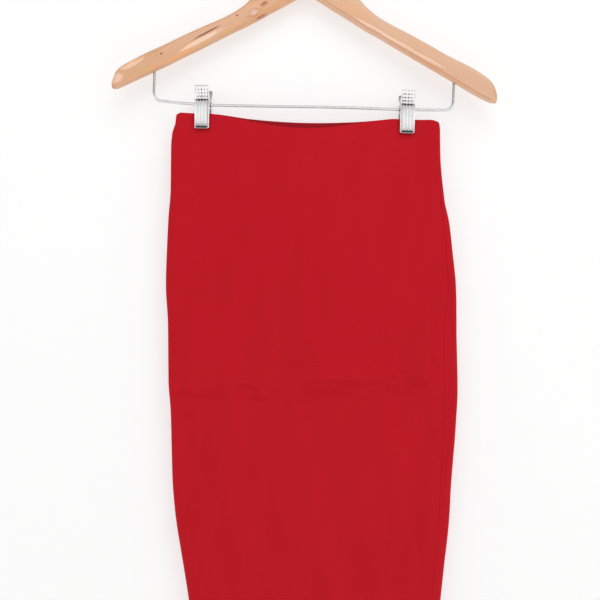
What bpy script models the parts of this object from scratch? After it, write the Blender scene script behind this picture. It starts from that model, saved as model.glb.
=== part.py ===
"""A bodycon maxi skirt of red stretch knit, hung by its waist from two spring clips on a wooden clip hanger.

Metres, +Z up. The origin is the inner crest of the hook, where a rail bears. The skirt's front faces -Y.
The cloth is a thin wall round an open tube, in two panels that meet at the side seams.
"""

import math

import bmesh
import bpy
import numpy as np

MM = 0.001

# Hanging
HANGER_TILT = math.radians(1.9)  # the hanger's right end hangs low, turned about the hook's crest
BODY_PLANE = -6.1 * MM  # y of the bar, of the clips and of the middle of the skirt
FIT_GAP = 0.3 * MM  # kept between neighbouring pieces

# Cloth
WALL = 1.4 * MM
SIDE_FOLD = 4.8 * MM  # radius of the cloth's middle layer where the tube folds at each side
WAIST_HEIGHT = -249.3 * MM  # of the waist's line at x = 0
WAIST_SLOPE = -0.0297  # the waist's right end hangs low, as the bar does
WAIST_SAG = {"front": 13.0 * MM, "back": 5.5 * MM}  # between the clips, where nothing holds the edge
SAG_MIDDLE = -10 * MM
SAG_REACH = 108 * MM
SAG_FADE = 40 * MM  # how far down the cloth follows the sagging edge

# One row for each level of the skirt, in mm: how far below the waist's line it is, where its left and right
# sides are, how far the middle stands out past the side folds, and how far the right seam has rolled forward.
SECTION_COLUMNS = ("drop", "left", "right", "swell", "roll")
SECTIONS = (
    (0, -150.5, 142.5, 2.8, 2.0),
    (3, -154.3, 149.0, 2.8, 2.0),
    (12, -155.3, 150.0, 2.8, 2.1),
    (23, -158.7, 150.1, 2.9, 2.4),
    (38, -160.2, 150.3, 3.0, 3.0),
    (92, -160.9, 155.2, 3.4, 7.5),
    (120, -163.2, 161.0, 3.6, 10.0),
    (150, -164.7, 164.4, 3.9, 10.4),
    (200, -166.3, 168.8, 4.2, 13.0),
    (245, -163.9, 169.2, 4.5, 18.0),
    (312, -163.3, 170.3, 4.8, 19.0),
    (345, -160.8, 168.8, 4.7, 17.8),
    (425, -158.6, 162.6, 4.4, 15.5),
    (455, -156.3, 161.1, 4.3, 15.0),
    (480, -153.2, 158.9, 4.2, 14.6),
    (510, -148.2, 155.3, 4.1, 14.2),
    (560, -140.2, 149.9, 4.0, 13.6),
    (610, -133.4, 144.6, 4.0, 13.0),
    (670, -128.8, 140.0, 4.1, 12.4),
    (740, -127.2, 137.6, 4.3, 11.8),
    (850, -127.8, 137.8, 4.7, 10.8),
    (950, -128.6, 138.4, 5.3, 10.0),
)
LEFT_ROLL = 1.0 * MM  # the left seam shows just in front of the fold

# The fold that storage pressed across the skirt, in mm, one row for each stretch: x and z where it starts,
# x and z where it ends, how deep it is pressed in, and half its width.
CREASES = (
    (-168, -565, -88, -569, 1.3, 7.0),
    (-52, -562, 16, -562, 1.1, 7.0),
    (-10, -551, 84, -552, 0.9, 6.5),
    (80, -557, 110, -559, 1.3, 9.0),
    (104, -553, 140, -550, 0.8, 6.5),
)
CREASE_END = 16 * MM  # over which each stretch runs out

# Levels of the cloth's points in mm, close together at the waist and across the crease
DROPS = (0, 1.5, 4, 10, 19, 30, 45, 65, 90, 120, 160, 205, 250)
DROPS += (285, 296, 304, 311, 318, 327, 345, 400, 455, 510, 570, 640, 720, 800, 880, 935, 950)
# Places of the points at each level, in mm from the seams, and how many are spread evenly between
LEFT_STEPS = (0, 2, 4, 6.6, 10, 15, 20.5, 27, 34, 41, 48, 58, 72)
FRONT_RIGHT_STEPS = (0, 2.5, 5, 9, 15, 21, 26, 33, 40, 47, 55, 68)
BACK_RIGHT_STEPS = (0, 2.5, 5, 8, 11, 14, 17, 20, 23, 26, 29.5, 34, 40, 47, 55, 68)
MIDDLE_STEPS = 6

# Clips: x of the middle, the turn about the upright, and the lean in the skirt's plane
CLIPS = {
    "left": {"x": -123.7 * MM, "turn": math.radians(-4.5), "lean": math.radians(1.6)},
    "right": {"x": 112.3 * MM, "turn": math.radians(1.5), "lean": math.radians(1.4)},
}
GRIP_HALF_WIDTH = 10 * MM
GRIP_DROP = 19 * MM
GRIP_TO_SIDE = 36 * MM  # how far outwards from the jaws the cloth takes to open again
GRIP_TO_MIDDLE = 48 * MM  # and inwards
GRIP_TO_BELOW = 105 * MM  # and downwards
SHEET = 1.0 * MM  # thickness of a clip's metal
# A leg's outer face in mm, top to bottom, measured from the bar: how far out, how far up, and half its width
LEG_FACE = (
    (11.2, 19.0, 7.9),
    (12.5, 19.4, 7.9),
    (13.5, 18.6, 7.9),
    (13.5, 17.4, 7.9),
    (8.0, 6.2, 8.5),
    (7.6, -2.3, 8.6),
    (6.2, -27.2, 8.7),
    (6.2, -28.7, 8.4),
)
FLANGE_UP = (-7.5 * MM, 5.0 * MM)
FLANGE_HALF_WIDTH = 8.2 * MM
FLANGE_PAST_BAR = 4.4 * MM
FLANGE_CORNER = 0.6  # the share of that at which the flange's corners are cut off
FLANGE_SUNK = 0.4  # the share of the sheet by which a flange's root is sunk in the face
CLIP_HOLE = 3.0 * MM  # radius of the holes that the bar runs through
CLIP_HANG = 0.6 * MM  # how far the holes' middle hangs below the bar's
PAD_UP = (-28.2 * MM, -8.0 * MM)
PAD_HALF_WIDTH = 7.3 * MM
SPRING_RADII = (2.7 * MM, 4.0 * MM)
SPRING_HALF_LENGTH = 5.1 * MM

# Hanger, before it is tilted
ARM_THICK = 12 * MM
ARM_AHEAD = 1 * MM  # how far the middle of the wood stands in front of the hook's stem
ARM_BOW = 10 * MM  # how far the ends stand forward of the middle
ARM_REACH = 222.5 * MM
ARM_TOP_ROUND = 5.0 * MM
ARM_BOTTOM_ROUNDS = {"front": 1.4 * MM, "back": 6.0 * MM}
# One row for each station along an arm, in mm: its distance from the middle, its top and its underside
ARM_COLUMNS = ("x", "top", "bottom")
ARM_STATIONS = (
    (0, -74.0, -107.0),
    (12, -75.6, -112.1),
    (25, -80.6, -119.7),
    (38, -88.6, -127.3),
    (50, -98.8, -134.3),
    (62, -111.0, -141.5),
    (72, -121.2, -147.3),
    (84, -130.2, -153.4),
    (98, -138.2, -161.4),
    (118, -148.0, -172.6),
    (140, -159.4, -184.8),
    (164, -172.6, -198.2),
    (186, -184.2, -209.8),
    (202, -193.4, -218.2),
    (211, -199.2, -222.9),
    (217, -204.9, -225.5),
    (220.8, -212.4, -226.1),
    (222.4, -217.4, -224.0),
)
ARM_SIDE_ROUND = 9 * MM  # length over which an arm's tip thins
ARM_TIP_THINNING = 0.85
ARM_ROUND_LIMIT = 0.45  # the largest round, as a share of the section's height and thickness
# The two halves aren't quite alike: the right one hangs lower at its tip, and is fuller just before it
ARM_DROOP = {"left": 0.0, "right": 1.6 * MM}
ARM_FULLER = {"left": 0.0, "right": 1.6 * MM}
ARM_SHORTER = {"left": 1.7 * MM, "right": 0.0}  # at the tip
ARM_FULLEST = 198 * MM
ARM_FULL_REACH = 34 * MM
BAR_WIRE = 1.5 * MM  # radius
BAR_HALF_SPAN = 173.4 * MM
BAR_LEVEL = -237.3 * MM
# The bar is a little bent: for places from left to right in mm, how far it is below its ends
BAR_COLUMNS = ("x", "below")
BAR_BENDS = (
    (-164.4, -0.6),
    (-139, 1.1),
    (-106.6, 2.2),
    (-70, 1.8),
    (-12, 0.85),
    (35, 0),
    (70, -0.1),
    (95, 0.1),
    (130, -0.3),
    (164.4, -1.0),
)
BAR_BEND = 9 * MM
BAR_TOP = -193 * MM  # the ends stand in blind holes in the arms' undersides
BLIND_END = 1.5 * MM  # how much deeper a hole is than what stands in it
HOOK_WIRE = 1.9 * MM  # radius
HOOK_BEND = 21 * MM  # radius of the wire's middle line round the rail
HOOK_FOOT = -100 * MM  # lower end of the stem, inside the wood
HOOK_SHOULDER = -60 * MM  # where the stem starts to bend
HOOK_PULL = 11 * MM  # how long the bend keeps the direction of its ends
HOOK_JOIN = math.radians(-55)  # where the stem's bend meets the round
HOOK_TIP = math.radians(208)


def curve_through(table, columns, name):
    """A smooth function of a table's first column, in metres, through the column of the given name."""
    at = np.array([row[0] for row in table]) * MM
    values = np.array([row[columns.index(name)] for row in table]) * MM
    steps = np.diff(values) / np.diff(at)
    level = steps[:-1] * steps[1:] <= 0
    mean = 2 * steps[:-1] * steps[1:] / np.where(level, 1, steps[:-1] + steps[1:])
    slopes = np.concatenate([steps[:1], np.where(level, 0, mean), steps[-1:]])

    def value(x):
        x = np.clip(x, at[0], at[-1])
        i = np.clip(np.searchsorted(at, x, side="right") - 1, 0, len(at) - 2)
        width = at[i + 1] - at[i]
        t = (x - at[i]) / width
        start = (1 + 2 * t) * (1 - t) ** 2 * values[i] + t * (1 - t) ** 2 * width * slopes[i]
        end = t * t * (3 - 2 * t) * values[i + 1] + t * t * (t - 1) * width * slopes[i + 1]
        return start + end

    return value


def ease(t):
    """0 to 1 with level ends."""
    t = np.clip(t, 0, 1)
    return t * t * (3 - 2 * t)


# The surface of the cloth

section = {name: curve_through(SECTIONS, SECTION_COLUMNS, name) for name in SECTION_COLUMNS[1:]}


def openness(clip, x, drop):
    """0 where a clip's jaws press the cloth flat, rising to 1 away from them."""
    outwards = np.where((x - clip["x"]) * clip["x"] > 0, GRIP_TO_SIDE, GRIP_TO_MIDDLE)
    beside = np.maximum(0, np.abs(x - clip["x"]) - GRIP_HALF_WIDTH) / outwards
    below = np.maximum(0, drop - GRIP_DROP) / GRIP_TO_BELOW
    return ease(np.hypot(beside, below))


def half_depth(x, drop, across):
    """From the middle plane to the middle of the cloth. across runs from -1 at one side to 1 at the other."""
    pressed = (FIT_GAP + WALL) / 2
    free = SIDE_FOLD + section["swell"](drop) * (1 - across**2) ** 1.5
    opened = openness(CLIPS["left"], x, drop) * openness(CLIPS["right"], x, drop)
    return pressed + (free - pressed) * opened


def middle_plane(x, drop):
    """y of the plane between front and back, which turns with each clip."""
    plane = BODY_PLANE
    for clip in CLIPS.values():
        plane = plane + (x - clip["x"]) * math.tan(clip["turn"]) * (1 - openness(clip, x, drop)) ** 4
    return plane


def height(x, drop, side):
    """z of a point of the cloth."""
    along = np.clip((x - SAG_MIDDLE) / SAG_REACH, -1, 1)
    sag = WAIST_SAG[side] * (1 - along**2) ** 1.5 * math.exp(-drop / SAG_FADE)
    return WAIST_HEIGHT + WAIST_SLOPE * x - sag - drop


def pressed_in(x, z):
    """How far the storage crease moves the cloth towards the inside."""
    depth = np.zeros_like(x)
    for row in CREASES:
        x_from, z_from, x_to, z_to, deep, half_width = (value * MM for value in row)
        along = (x - x_from) / (x_to - x_from)
        level = z_from + (z_to - z_from) * along
        trough = np.exp(-(((z - level) / half_width) ** 2))
        ends = ease((x - x_from) / CREASE_END + 0.5) * ease((x_to - x) / CREASE_END + 0.5)
        depth += deep * trough * ends
    return depth


def ring(drop):
    """The closed line of the cloth's middle layer at one level: front from left to right, then back again.

    Gives the points, their outward directions, how far along the line each is, and the length of the front.
    """
    left, right = section["left"](drop), section["right"](drop)
    turn = np.linspace(0, math.pi / 2, 13)
    flat = np.linspace(left + SIDE_FOLD, right - SIDE_FOLD, 241)[1:-1]
    left_fold = left + SIDE_FOLD * (1 - np.cos(turn))
    right_fold = (right - SIDE_FOLD * (1 - np.cos(turn)))[::-1]
    x = np.concatenate([left_fold, flat, right_fold])
    round_off = np.concatenate([np.sin(turn), np.ones_like(flat), np.sin(turn)[::-1]])
    across = np.clip((2 * x - left - right) / (right - left), -1, 1)
    depth = half_depth(x, drop, across) * round_off
    plane = middle_plane(x, drop)
    z_front, z_back = height(x, drop, "front"), height(x, drop, "back")
    front = np.stack([x, plane - depth + pressed_in(x, z_front) * round_off, z_front], 1)
    back = np.stack([x, plane + depth - pressed_in(x, z_back) * round_off, z_back], 1)[::-1]
    loop = np.concatenate([front, back[1:-1]])
    steps = np.linalg.norm((np.roll(loop, -1, 0) - loop)[:, :2], axis=1)
    along = np.concatenate([[0], np.cumsum(steps)])
    ahead = np.roll(loop, -1, 0) - np.roll(loop, 1, 0)
    outward = np.stack([ahead[:, 1], -ahead[:, 0]], 1)
    outward /= np.linalg.norm(outward, axis=1, keepdims=True)
    return loop, outward, along, along[len(front) - 1]


def ring_points(drop, wanted):
    """Outer and inner points of the wall at distances along the ring."""
    loop, outward, along, _ = ring(drop)
    closed = np.concatenate([loop, loop[:1]])
    closed_out = np.concatenate([outward, outward[:1]])
    wanted = np.mod(wanted, along[-1])
    point = np.stack([np.interp(wanted, along, closed[:, k]) for k in range(3)], 1)
    level = [np.interp(wanted, along, closed_out[:, k]) for k in range(2)]
    out = np.stack([*level, np.zeros_like(wanted)], 1)
    out /= np.linalg.norm(out, axis=1, keepdims=True)
    return point + out * WALL / 2, point - out * WALL / 2


def spread(start, end, start_steps, end_steps):
    """Distances from start to end: close together by both seams, even between."""
    first = start + np.array(start_steps) * MM
    last = end - np.array(end_steps[::-1]) * MM
    between = np.linspace(first[-1], last[0], MIDDLE_STEPS + 2)[1:-1]
    return np.concatenate([first, between, last])


def front_columns(drop):
    front_length = ring(drop)[3]
    start, end = LEFT_ROLL + FIT_GAP / 2, front_length - section["roll"](drop) - FIT_GAP / 2
    return spread(start, end, LEFT_STEPS, FRONT_RIGHT_STEPS)


def back_columns(drop):
    _, _, along, front_length = ring(drop)
    start, end = front_length - section["roll"](drop) + FIT_GAP / 2, along[-1] + LEFT_ROLL - FIT_GAP / 2
    return spread(start, end, BACK_RIGHT_STEPS, LEFT_STEPS)


# Making objects


def material(name, color, roughness, metallic=0.0):
    made = bpy.data.materials.new(name)
    made.use_nodes = True
    shader = made.node_tree.nodes["Principled BSDF"]
    shader.inputs["Base Color"].default_value = (*color, 1)
    shader.inputs["Roughness"].default_value = roughness
    shader.inputs["Metallic"].default_value = metallic
    return made


def add_object(name, data, finish=None, parent=None):
    made = bpy.data.objects.new(name, data)
    bpy.context.scene.collection.objects.link(made)
    if finish:
        made.data.materials.append(finish)
    made.parent = parent
    return made


def mesh_from(name, points, faces, smooth_below=math.radians(50)):
    """A mesh whose faces all point out."""
    mesh = bpy.data.meshes.new(name)
    mesh.from_pydata([tuple(point) for point in points], [], faces)
    shape = bmesh.new()
    shape.from_mesh(mesh)
    bmesh.ops.recalc_face_normals(shape, faces=shape.faces)
    shape.to_mesh(mesh)
    shape.free()
    mesh.shade_smooth()
    mesh.set_sharp_from_angle(angle=smooth_below)
    return mesh


def band_faces(count, size, closed=False):
    """Quads between neighbouring rings of size points each, and from the last ring to the first if closed."""
    faces = []
    for ring_number in range(count if closed else count - 1):
        here, there = ring_number * size, (ring_number + 1) % count * size
        for c in range(size):
            after = (c + 1) % size
            faces.append((here + c, here + after, there + after, there + c))
    return faces


def loft(name, rings):
    """A closed mesh through rings with as many points each, its two ends filled."""
    count, size = len(rings), len(rings[0])
    ends = [tuple(range(size)), tuple(range((count - 1) * size, count * size))]
    return mesh_from(name, np.concatenate(rings), band_faces(count, size) + ends)


def wall_mesh(name, columns):
    """The wall of one panel: for each level a ring of its outer points and its inner points back again."""
    rings = []
    for drop in DROPS:
        outer, inner = ring_points(drop * MM, columns(drop * MM))
        rings.append(np.concatenate([outer, inner[::-1]]))
    size = len(rings[0])
    faces = band_faces(len(rings), size)
    for first in (0, (len(rings) - 1) * size):
        last = first + size - 1
        faces += [(first + c, first + c + 1, last - c - 1, last - c) for c in range(size // 2 - 1)]
    return mesh_from(name, np.concatenate(rings), faces)


def cutter(name, mesh, parent):
    made = add_object(name, mesh, parent=parent)
    made.hide_render = True
    made.display_type = "WIRE"
    return made


def boolean(target, other, operation):
    step = target.modifiers.new(operation.lower(), "BOOLEAN")
    step.object = other
    step.operation = operation


def rod_mesh(name, radius, start, end, sides=20):
    """A plain round rod from start to end, which lie on a line along X or along Z."""
    angles = np.arange(sides) * 2 * math.pi / sides
    turned = radius * np.stack([np.cos(angles), np.sin(angles)], 1)
    along_x = start[0] != end[0]
    circle = np.insert(turned, 0 if along_x else 2, 0, axis=1)
    return loft(name, [circle + start, circle + end])


def wire(name, points, radius, finish, parent):
    """A round wire along the points, with flat ends."""
    data = bpy.data.curves.new(name, "CURVE")
    data.dimensions = "3D"
    data.bevel_depth = radius
    data.bevel_resolution = 2
    data.use_fill_caps = True
    spline = data.splines.new("POLY")
    spline.points.add(len(points) - 1)
    for place, point in zip(spline.points, points):
        place.co = (*point, 1)
    return add_object(name, data, finish, parent)


# Pieces


def add_skirt(knit):
    add_object("front_panel", wall_mesh("front_panel", front_columns), knit)
    add_object("back_panel", wall_mesh("back_panel", back_columns), knit)


def arm_ring(x, name, side):
    """An arm's cross-section at one distance from the middle: rounded but for a crisp lower edge in front."""
    lowered = ARM_DROOP[name] * (x / ARM_REACH) ** 2
    fuller = ARM_FULLER[name] * (1 - min(1, abs(x - ARM_FULLEST) / ARM_FULL_REACH) ** 2) ** 2
    top = curve_through(ARM_STATIONS, ARM_COLUMNS, "top")(x) - lowered + fuller
    bottom = curve_through(ARM_STATIONS, ARM_COLUMNS, "bottom")(x) - lowered - fuller
    past = max(0.0, x - (ARM_REACH - ARM_SIDE_ROUND)) / ARM_SIDE_ROUND
    half = ARM_THICK / 2 * math.sqrt(1 - ARM_TIP_THINNING * past**2)
    forward = -ARM_AHEAD - ARM_BOW * (x / ARM_REACH) ** 2
    outwards = side * (x - ARM_SHORTER[name] * (x / ARM_REACH) ** 8)
    limit = ARM_ROUND_LIMIT * min(top - bottom, 2 * half)
    on_top, in_front = min(ARM_TOP_ROUND, limit), min(ARM_BOTTOM_ROUNDS["front"], limit)
    behind = min(ARM_BOTTOM_ROUNDS["back"], limit)
    corners = (
        (half - on_top, top - on_top, on_top, 0, 4),
        (-half + on_top, top - on_top, on_top, 90, 4),
        (-half + in_front, bottom + in_front, in_front, 180, 3),
        (half - behind, bottom + behind, behind, 270, 4),
    )
    points = []
    for y, z, radius, start, count in corners:
        for angle in np.radians(np.linspace(start, start + 90, count)):
            out, up = radius * math.cos(angle), radius * math.sin(angle)
            points.append((outwards, forward + y + out, z + up))
    return np.array(points)


def add_hanger(light_wood, tan_wood, chrome, tilted):
    stem_ends = (0, 0, HOOK_FOOT - BLIND_END), (0, 0, HOOK_SHOULDER)
    stem_hole = cutter("stem_hole", rod_mesh("stem_hole", HOOK_WIRE + FIT_GAP, *stem_ends), tilted)
    stations = [row[0] * MM for row in ARM_STATIONS[1:]]
    for name, side, wood in (("left", -1, light_wood), ("right", 1, tan_wood)):
        rings = [arm_ring(x, name, side) for x in [FIT_GAP / 2] + stations]
        arm = add_object(f"hanger_arm_{name}", loft(f"hanger_arm_{name}", rings), wood, tilted)
        bar_ends = [(side * BAR_HALF_SPAN, BODY_PLANE, z) for z in (BAR_LEVEL, BAR_TOP + BLIND_END)]
        hole = rod_mesh(f"bar_hole_{name}", BAR_WIRE + FIT_GAP, *bar_ends)
        boolean(arm, stem_hole, "DIFFERENCE")
        boolean(arm, cutter(f"bar_hole_{name}", hole, tilted), "DIFFERENCE")
    wire("hook", hook_line(), HOOK_WIRE, chrome, tilted)
    wire("trouser_bar", bar_line(), BAR_WIRE, chrome, tilted)


def hook_line():
    """Up the stem, sideways into the round, over the crest and down to the open mouth on the left."""
    centre = HOOK_WIRE - HOOK_BEND
    join = np.array([HOOK_BEND * math.cos(HOOK_JOIN), centre + HOOK_BEND * math.sin(HOOK_JOIN)])
    heading = np.array([-math.sin(HOOK_JOIN), math.cos(HOOK_JOIN)])
    shoulder = np.array([0, HOOK_SHOULDER])
    controls = (shoulder, shoulder + (0, HOOK_PULL), join - heading * HOOK_PULL, join)
    bend = []
    for t in np.linspace(0, 1, 9)[:-1]:
        weights = ((1 - t) ** 3, 3 * t * (1 - t) ** 2, 3 * t * t * (1 - t), t**3)
        bend.append(sum(weight * point for weight, point in zip(weights, controls)))
    angles = np.linspace(HOOK_JOIN, HOOK_TIP, 22)
    rounded = [(HOOK_BEND * math.cos(a), centre + HOOK_BEND * math.sin(a)) for a in angles]
    line = [(0, HOOK_FOOT), (0, (HOOK_FOOT + HOOK_SHOULDER) / 2), *bend, *rounded]
    return [(x, 0, z) for x, z in line]


def bar_level(x):
    """z of the bar's middle line before the hanger's tilt."""
    return BAR_LEVEL - curve_through(BAR_BENDS, BAR_COLUMNS, "below")(x)


def bar_line():
    """Down out of the left arm, across, and up into the right arm."""
    inner = BAR_HALF_SPAN - BAR_BEND
    turns = np.radians(np.linspace(0, 90, 6))
    across = [(x, bar_level(x)) for x in np.linspace(-inner, inner, 15)[1:-1]]
    ends = []
    for side in (-1, 1):
        up_from = bar_level(side * inner) + BAR_BEND
        turned = [(side * (inner + BAR_BEND * math.cos(a)), up_from - BAR_BEND * math.sin(a)) for a in turns]
        ends.append([(side * BAR_HALF_SPAN, BAR_TOP), *turned])
    line = ends[0] + across + ends[1][::-1]
    return [(x, BODY_PLANE, z) for x, z in line]


def plate_mesh(name, profile, half_widths):
    """A sheet-metal strip: a closed outline seen from the side, with half its width at each point."""
    rings = [[(side * width, y, z) for (y, z), width in zip(profile, half_widths)] for side in (-1, 1)]
    return loft(name, [np.array(ring) for ring in rings])


def leg_profile(facing):
    """A leg's closed outline from the side, and half its width at each point. facing is -1 for the front."""
    face = np.array([row[:2] for row in LEG_FACE]) * MM
    widths = [row[2] * MM for row in LEG_FACE]
    ahead = np.gradient(face, axis=0)
    inward = np.stack([ahead[:, 1], -ahead[:, 0]], 1)
    inward /= np.linalg.norm(inward, axis=1, keepdims=True)
    back = face + inward * SHEET
    outline = np.concatenate([face, back[::-1]])
    return outline * (facing, 1), widths + widths[::-1]


def leg_inner(up):
    """How far a leg's inner face is from the middle plane, at a height between its bend and its jaw."""
    outs, ups = np.array([row[:2] for row in LEG_FACE[6:3:-1]]).T * MM
    return float(np.interp(up, ups, outs)) - SHEET


def add_leg(name, facing, flange_outer, chrome, parent):
    """One leg: its face, with a drilled flange at each side that the bar runs through."""
    outline, widths = leg_profile(facing)
    leg = add_object(name, plate_mesh(name, outline, widths), chrome, parent)
    low, high = FLANGE_UP
    tip, corner = FLANGE_PAST_BAR, FLANGE_PAST_BAR * FLANGE_CORNER
    flange = [
        (leg_inner(high) + SHEET * FLANGE_SUNK, high),
        (-corner, tip - CLIP_HANG),
        (-tip, -CLIP_HANG),
        (-corner, -tip - CLIP_HANG),
        (leg_inner(low) + SHEET * FLANGE_SUNK, low),
    ]
    for side, side_name in ((-1, "left"), (1, "right")):
        faces_at = side * (flange_outer - SHEET), side * flange_outer
        rings = [np.array([(x, facing * y, z) for y, z in flange]) for x in faces_at]
        plate = loft(f"{name}_flange_{side_name}", rings)
        boolean(leg, cutter(plate.name, plate, parent), "UNION")
    hole_ends = [(end * flange_outer, 0, -CLIP_HANG) for end in (-2, 2)]
    hole = rod_mesh(f"{name}_hole", CLIP_HOLE, *hole_ends)
    boolean(leg, cutter(f"{name}_hole", hole, parent), "DIFFERENCE")


def add_pad(name, facing, rubber, parent):
    """A jaw's rubber pad: a wedge between the leg and the cloth."""
    low, high = PAD_UP
    near = FIT_GAP / 2 + WALL + FIT_GAP
    outline = [(near, low), (near, high), (leg_inner(high) - FIT_GAP, high), (leg_inner(low) - FIT_GAP, low)]
    profile = [(facing * y, z) for y, z in outline]
    add_object(name, plate_mesh(name, profile, [PAD_HALF_WIDTH] * 4), rubber, parent)


def add_spring(name, chrome, parent):
    """The spring's coils as one sleeve round the bar."""
    inner, outer = SPRING_RADII
    sides = 16
    angles = np.arange(sides) * 2 * math.pi / sides
    corners = ((-1, outer), (1, outer), (1, inner), (-1, inner))
    points = [
        (end * SPRING_HALF_LENGTH, radius * math.cos(a), radius * math.sin(a) - CLIP_HANG)
        for end, radius in corners
        for a in angles
    ]
    add_object(name, mesh_from(name, points, band_faces(len(corners), sides, closed=True)), chrome, parent)


def add_clip(side, chrome, rubber):
    """A spring clip on the bar. It hangs plumb but for its own turn and lean."""
    clip = CLIPS[side]
    along = (clip["x"] - BAR_LEVEL * math.sin(HANGER_TILT)) / math.cos(HANGER_TILT)
    bar_z = bar_level(along) * math.cos(HANGER_TILT) - along * math.sin(HANGER_TILT)
    hung = add_object(f"clip_{side}", None)
    hung.location = (clip["x"], BODY_PLANE, bar_z)
    hung.rotation_euler = (0, clip["lean"], clip["turn"])
    add_leg(f"clip_{side}_front_leg", -1, FLANGE_HALF_WIDTH, chrome, hung)
    add_leg(f"clip_{side}_back_leg", 1, FLANGE_HALF_WIDTH - SHEET - FIT_GAP, chrome, hung)
    add_pad(f"clip_{side}_front_pad", -1, rubber, hung)
    add_pad(f"clip_{side}_back_pad", 1, rubber, hung)
    add_spring(f"clip_{side}_spring", chrome, hung)


def build():
    for old in list(bpy.data.objects):
        bpy.data.objects.remove(old)
    knit = material("red_knit", (0.48, 0.011, 0.02), 0.85)
    light_wood = material("light_wood", (0.62, 0.33, 0.13), 0.45)
    tan_wood = material("tan_wood", (0.66, 0.37, 0.2), 0.4)
    chrome = material("chrome", (0.78, 0.78, 0.79), 0.12, 1.0)
    rubber = material("black_rubber", (0.012, 0.012, 0.013), 0.7)
    tilted = add_object("hanger", None)
    tilted.rotation_euler = (0, HANGER_TILT, 0)
    add_skirt(knit)
    add_hanger(light_wood, tan_wood, chrome, tilted)
    for side in CLIPS:
        add_clip(side, chrome, rubber)


build()
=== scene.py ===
import math

import bmesh
import bpy
import numpy as np
from mathutils import Euler, Matrix, Vector


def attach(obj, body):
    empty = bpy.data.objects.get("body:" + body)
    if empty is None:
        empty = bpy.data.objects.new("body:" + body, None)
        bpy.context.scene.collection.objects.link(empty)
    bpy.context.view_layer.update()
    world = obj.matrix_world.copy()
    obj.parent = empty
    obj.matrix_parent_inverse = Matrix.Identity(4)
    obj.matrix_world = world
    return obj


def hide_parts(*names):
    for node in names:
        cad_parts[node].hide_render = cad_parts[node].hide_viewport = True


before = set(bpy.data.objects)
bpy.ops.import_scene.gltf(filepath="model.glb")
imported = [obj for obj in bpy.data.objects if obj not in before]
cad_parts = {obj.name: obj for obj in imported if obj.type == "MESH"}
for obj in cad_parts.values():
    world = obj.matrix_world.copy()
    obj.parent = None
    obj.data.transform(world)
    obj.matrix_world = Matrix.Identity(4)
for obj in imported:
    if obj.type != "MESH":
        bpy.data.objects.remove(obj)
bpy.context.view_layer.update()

# Camera. It stands level in front of the cloth, a little left of its middle, as for a catalogue picture, and
# nothing is shifted. The cloth's middle plane is the distance that everything else was measured at.
MM = 0.001
BODY_PLANE = -6.1 * MM
CAMERA_DISTANCE = 820 * MM
CAMERA_SIDE = -11.6 * MM
CAMERA_HEIGHT = -461.7 * MM
PICTURE_WIDTH = 695.4 * MM  # what the picture spans at the cloth
SENSOR = 36

camera = bpy.data.objects.new("camera", bpy.data.cameras.new("camera"))
camera.location = (CAMERA_SIDE, BODY_PLANE - CAMERA_DISTANCE, CAMERA_HEIGHT)
camera.rotation_euler = (math.radians(90), 0, 0)
camera.data.sensor_width = SENSOR
camera.data.lens = SENSOR * CAMERA_DISTANCE / PICTURE_WIDTH
camera.data.clip_start = 10 * MM
bpy.context.scene.collection.objects.link(camera)
bpy.context.scene.camera = camera


# Wooden arms. Two bowed halves are sawn from light hardwood, rounded over on top and at the tips, and
# lacquered. They meet in the middle round the hook's stem, with a blind hole in each for an end of the bar.
# The left one is from a knotty board and the right one from an even one. The grain runs along the slope.
FIT_GAP = 0.3 * MM
HANGER_TILT = math.radians(1.9)  # the right end hangs low
TILTED = Matrix.Rotation(HANGER_TILT, 4, "Y")
SMOOTH_BELOW = math.radians(40)
ARM_THICK = 12 * MM
ARM_AHEAD = 1 * MM  # how far the middle of the wood stands in front of the hook's stem
ARM_BOW = 10 * MM
ARM_REACH = 222.5 * MM
ARM_TOP_ROUND = 5.0 * MM
ARM_BOTTOM_ROUNDS = {"front": 1.4 * MM, "back": 6.0 * MM}
ARM_SIDE_ROUND = 9 * MM
ARM_TIP_THINNING = 0.85
ARM_ROUND_LIMIT = 0.45
ARM_DROOP = {"left": 0.0, "right": 1.6 * MM}
ARM_FULLER = {"left": 0.0, "right": 1.6 * MM}
ARM_FULLEST = 198 * MM
ARM_FULL_REACH = 34 * MM
ARM_SHORTER = {"left": 1.7 * MM, "right": 0.0}
ARM_CROWN = 0.35 * MM  # how far the broad faces swell between their edges
ARM_STEP = 2.4 * MM
ARM_CORNER_POINTS = 9
ARM_FACE_STEPS = (0.12, 0.3, 0.5, 0.7, 0.88)  # where a flat stretch of the outline has points
ARM_FLAT_OVER = 1.2 * MM
ARM_BROAD_OVER = 2 * MM
ARM_TIP_TURN = (14, 30, 46, 60, 73, 82, 90)
ARM_TIP_CAP = ((0.82, 0.05), (0.5, 0.09), (0.2, 0.1))  # shares of the last ring, and how far out in mm
ROUTED_LINE = 0.955  # how far down the right arm's front face a fine line is routed along it
ROUTED_HALF = 0.024
ROUTED_DEPTH = 0.7 * MM
ARM_COLUMNS = ("x", "top", "bottom")
ARM_STATIONS = (
    (0, -74.0, -107.0),
    (12, -75.6, -112.1),
    (25, -80.6, -119.7),
    (38, -88.6, -127.3),
    (50, -98.8, -134.3),
    (62, -111.0, -141.5),
    (72, -121.2, -147.3),
    (84, -130.2, -153.4),
    (98, -138.2, -161.4),
    (118, -148.0, -172.6),
    (140, -159.4, -184.8),
    (164, -172.6, -198.2),
    (186, -184.2, -209.8),
    (202, -193.4, -218.2),
    (211, -199.2, -222.9),
    (217, -204.9, -225.5),
    (220.8, -212.4, -226.1),
    (222.4, -217.4, -224.0),
)
ARM_SHOULDER = ARM_STATIONS[-3][0] * MM
ARM_TIP = ARM_STATIONS[-1][0] * MM
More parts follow.
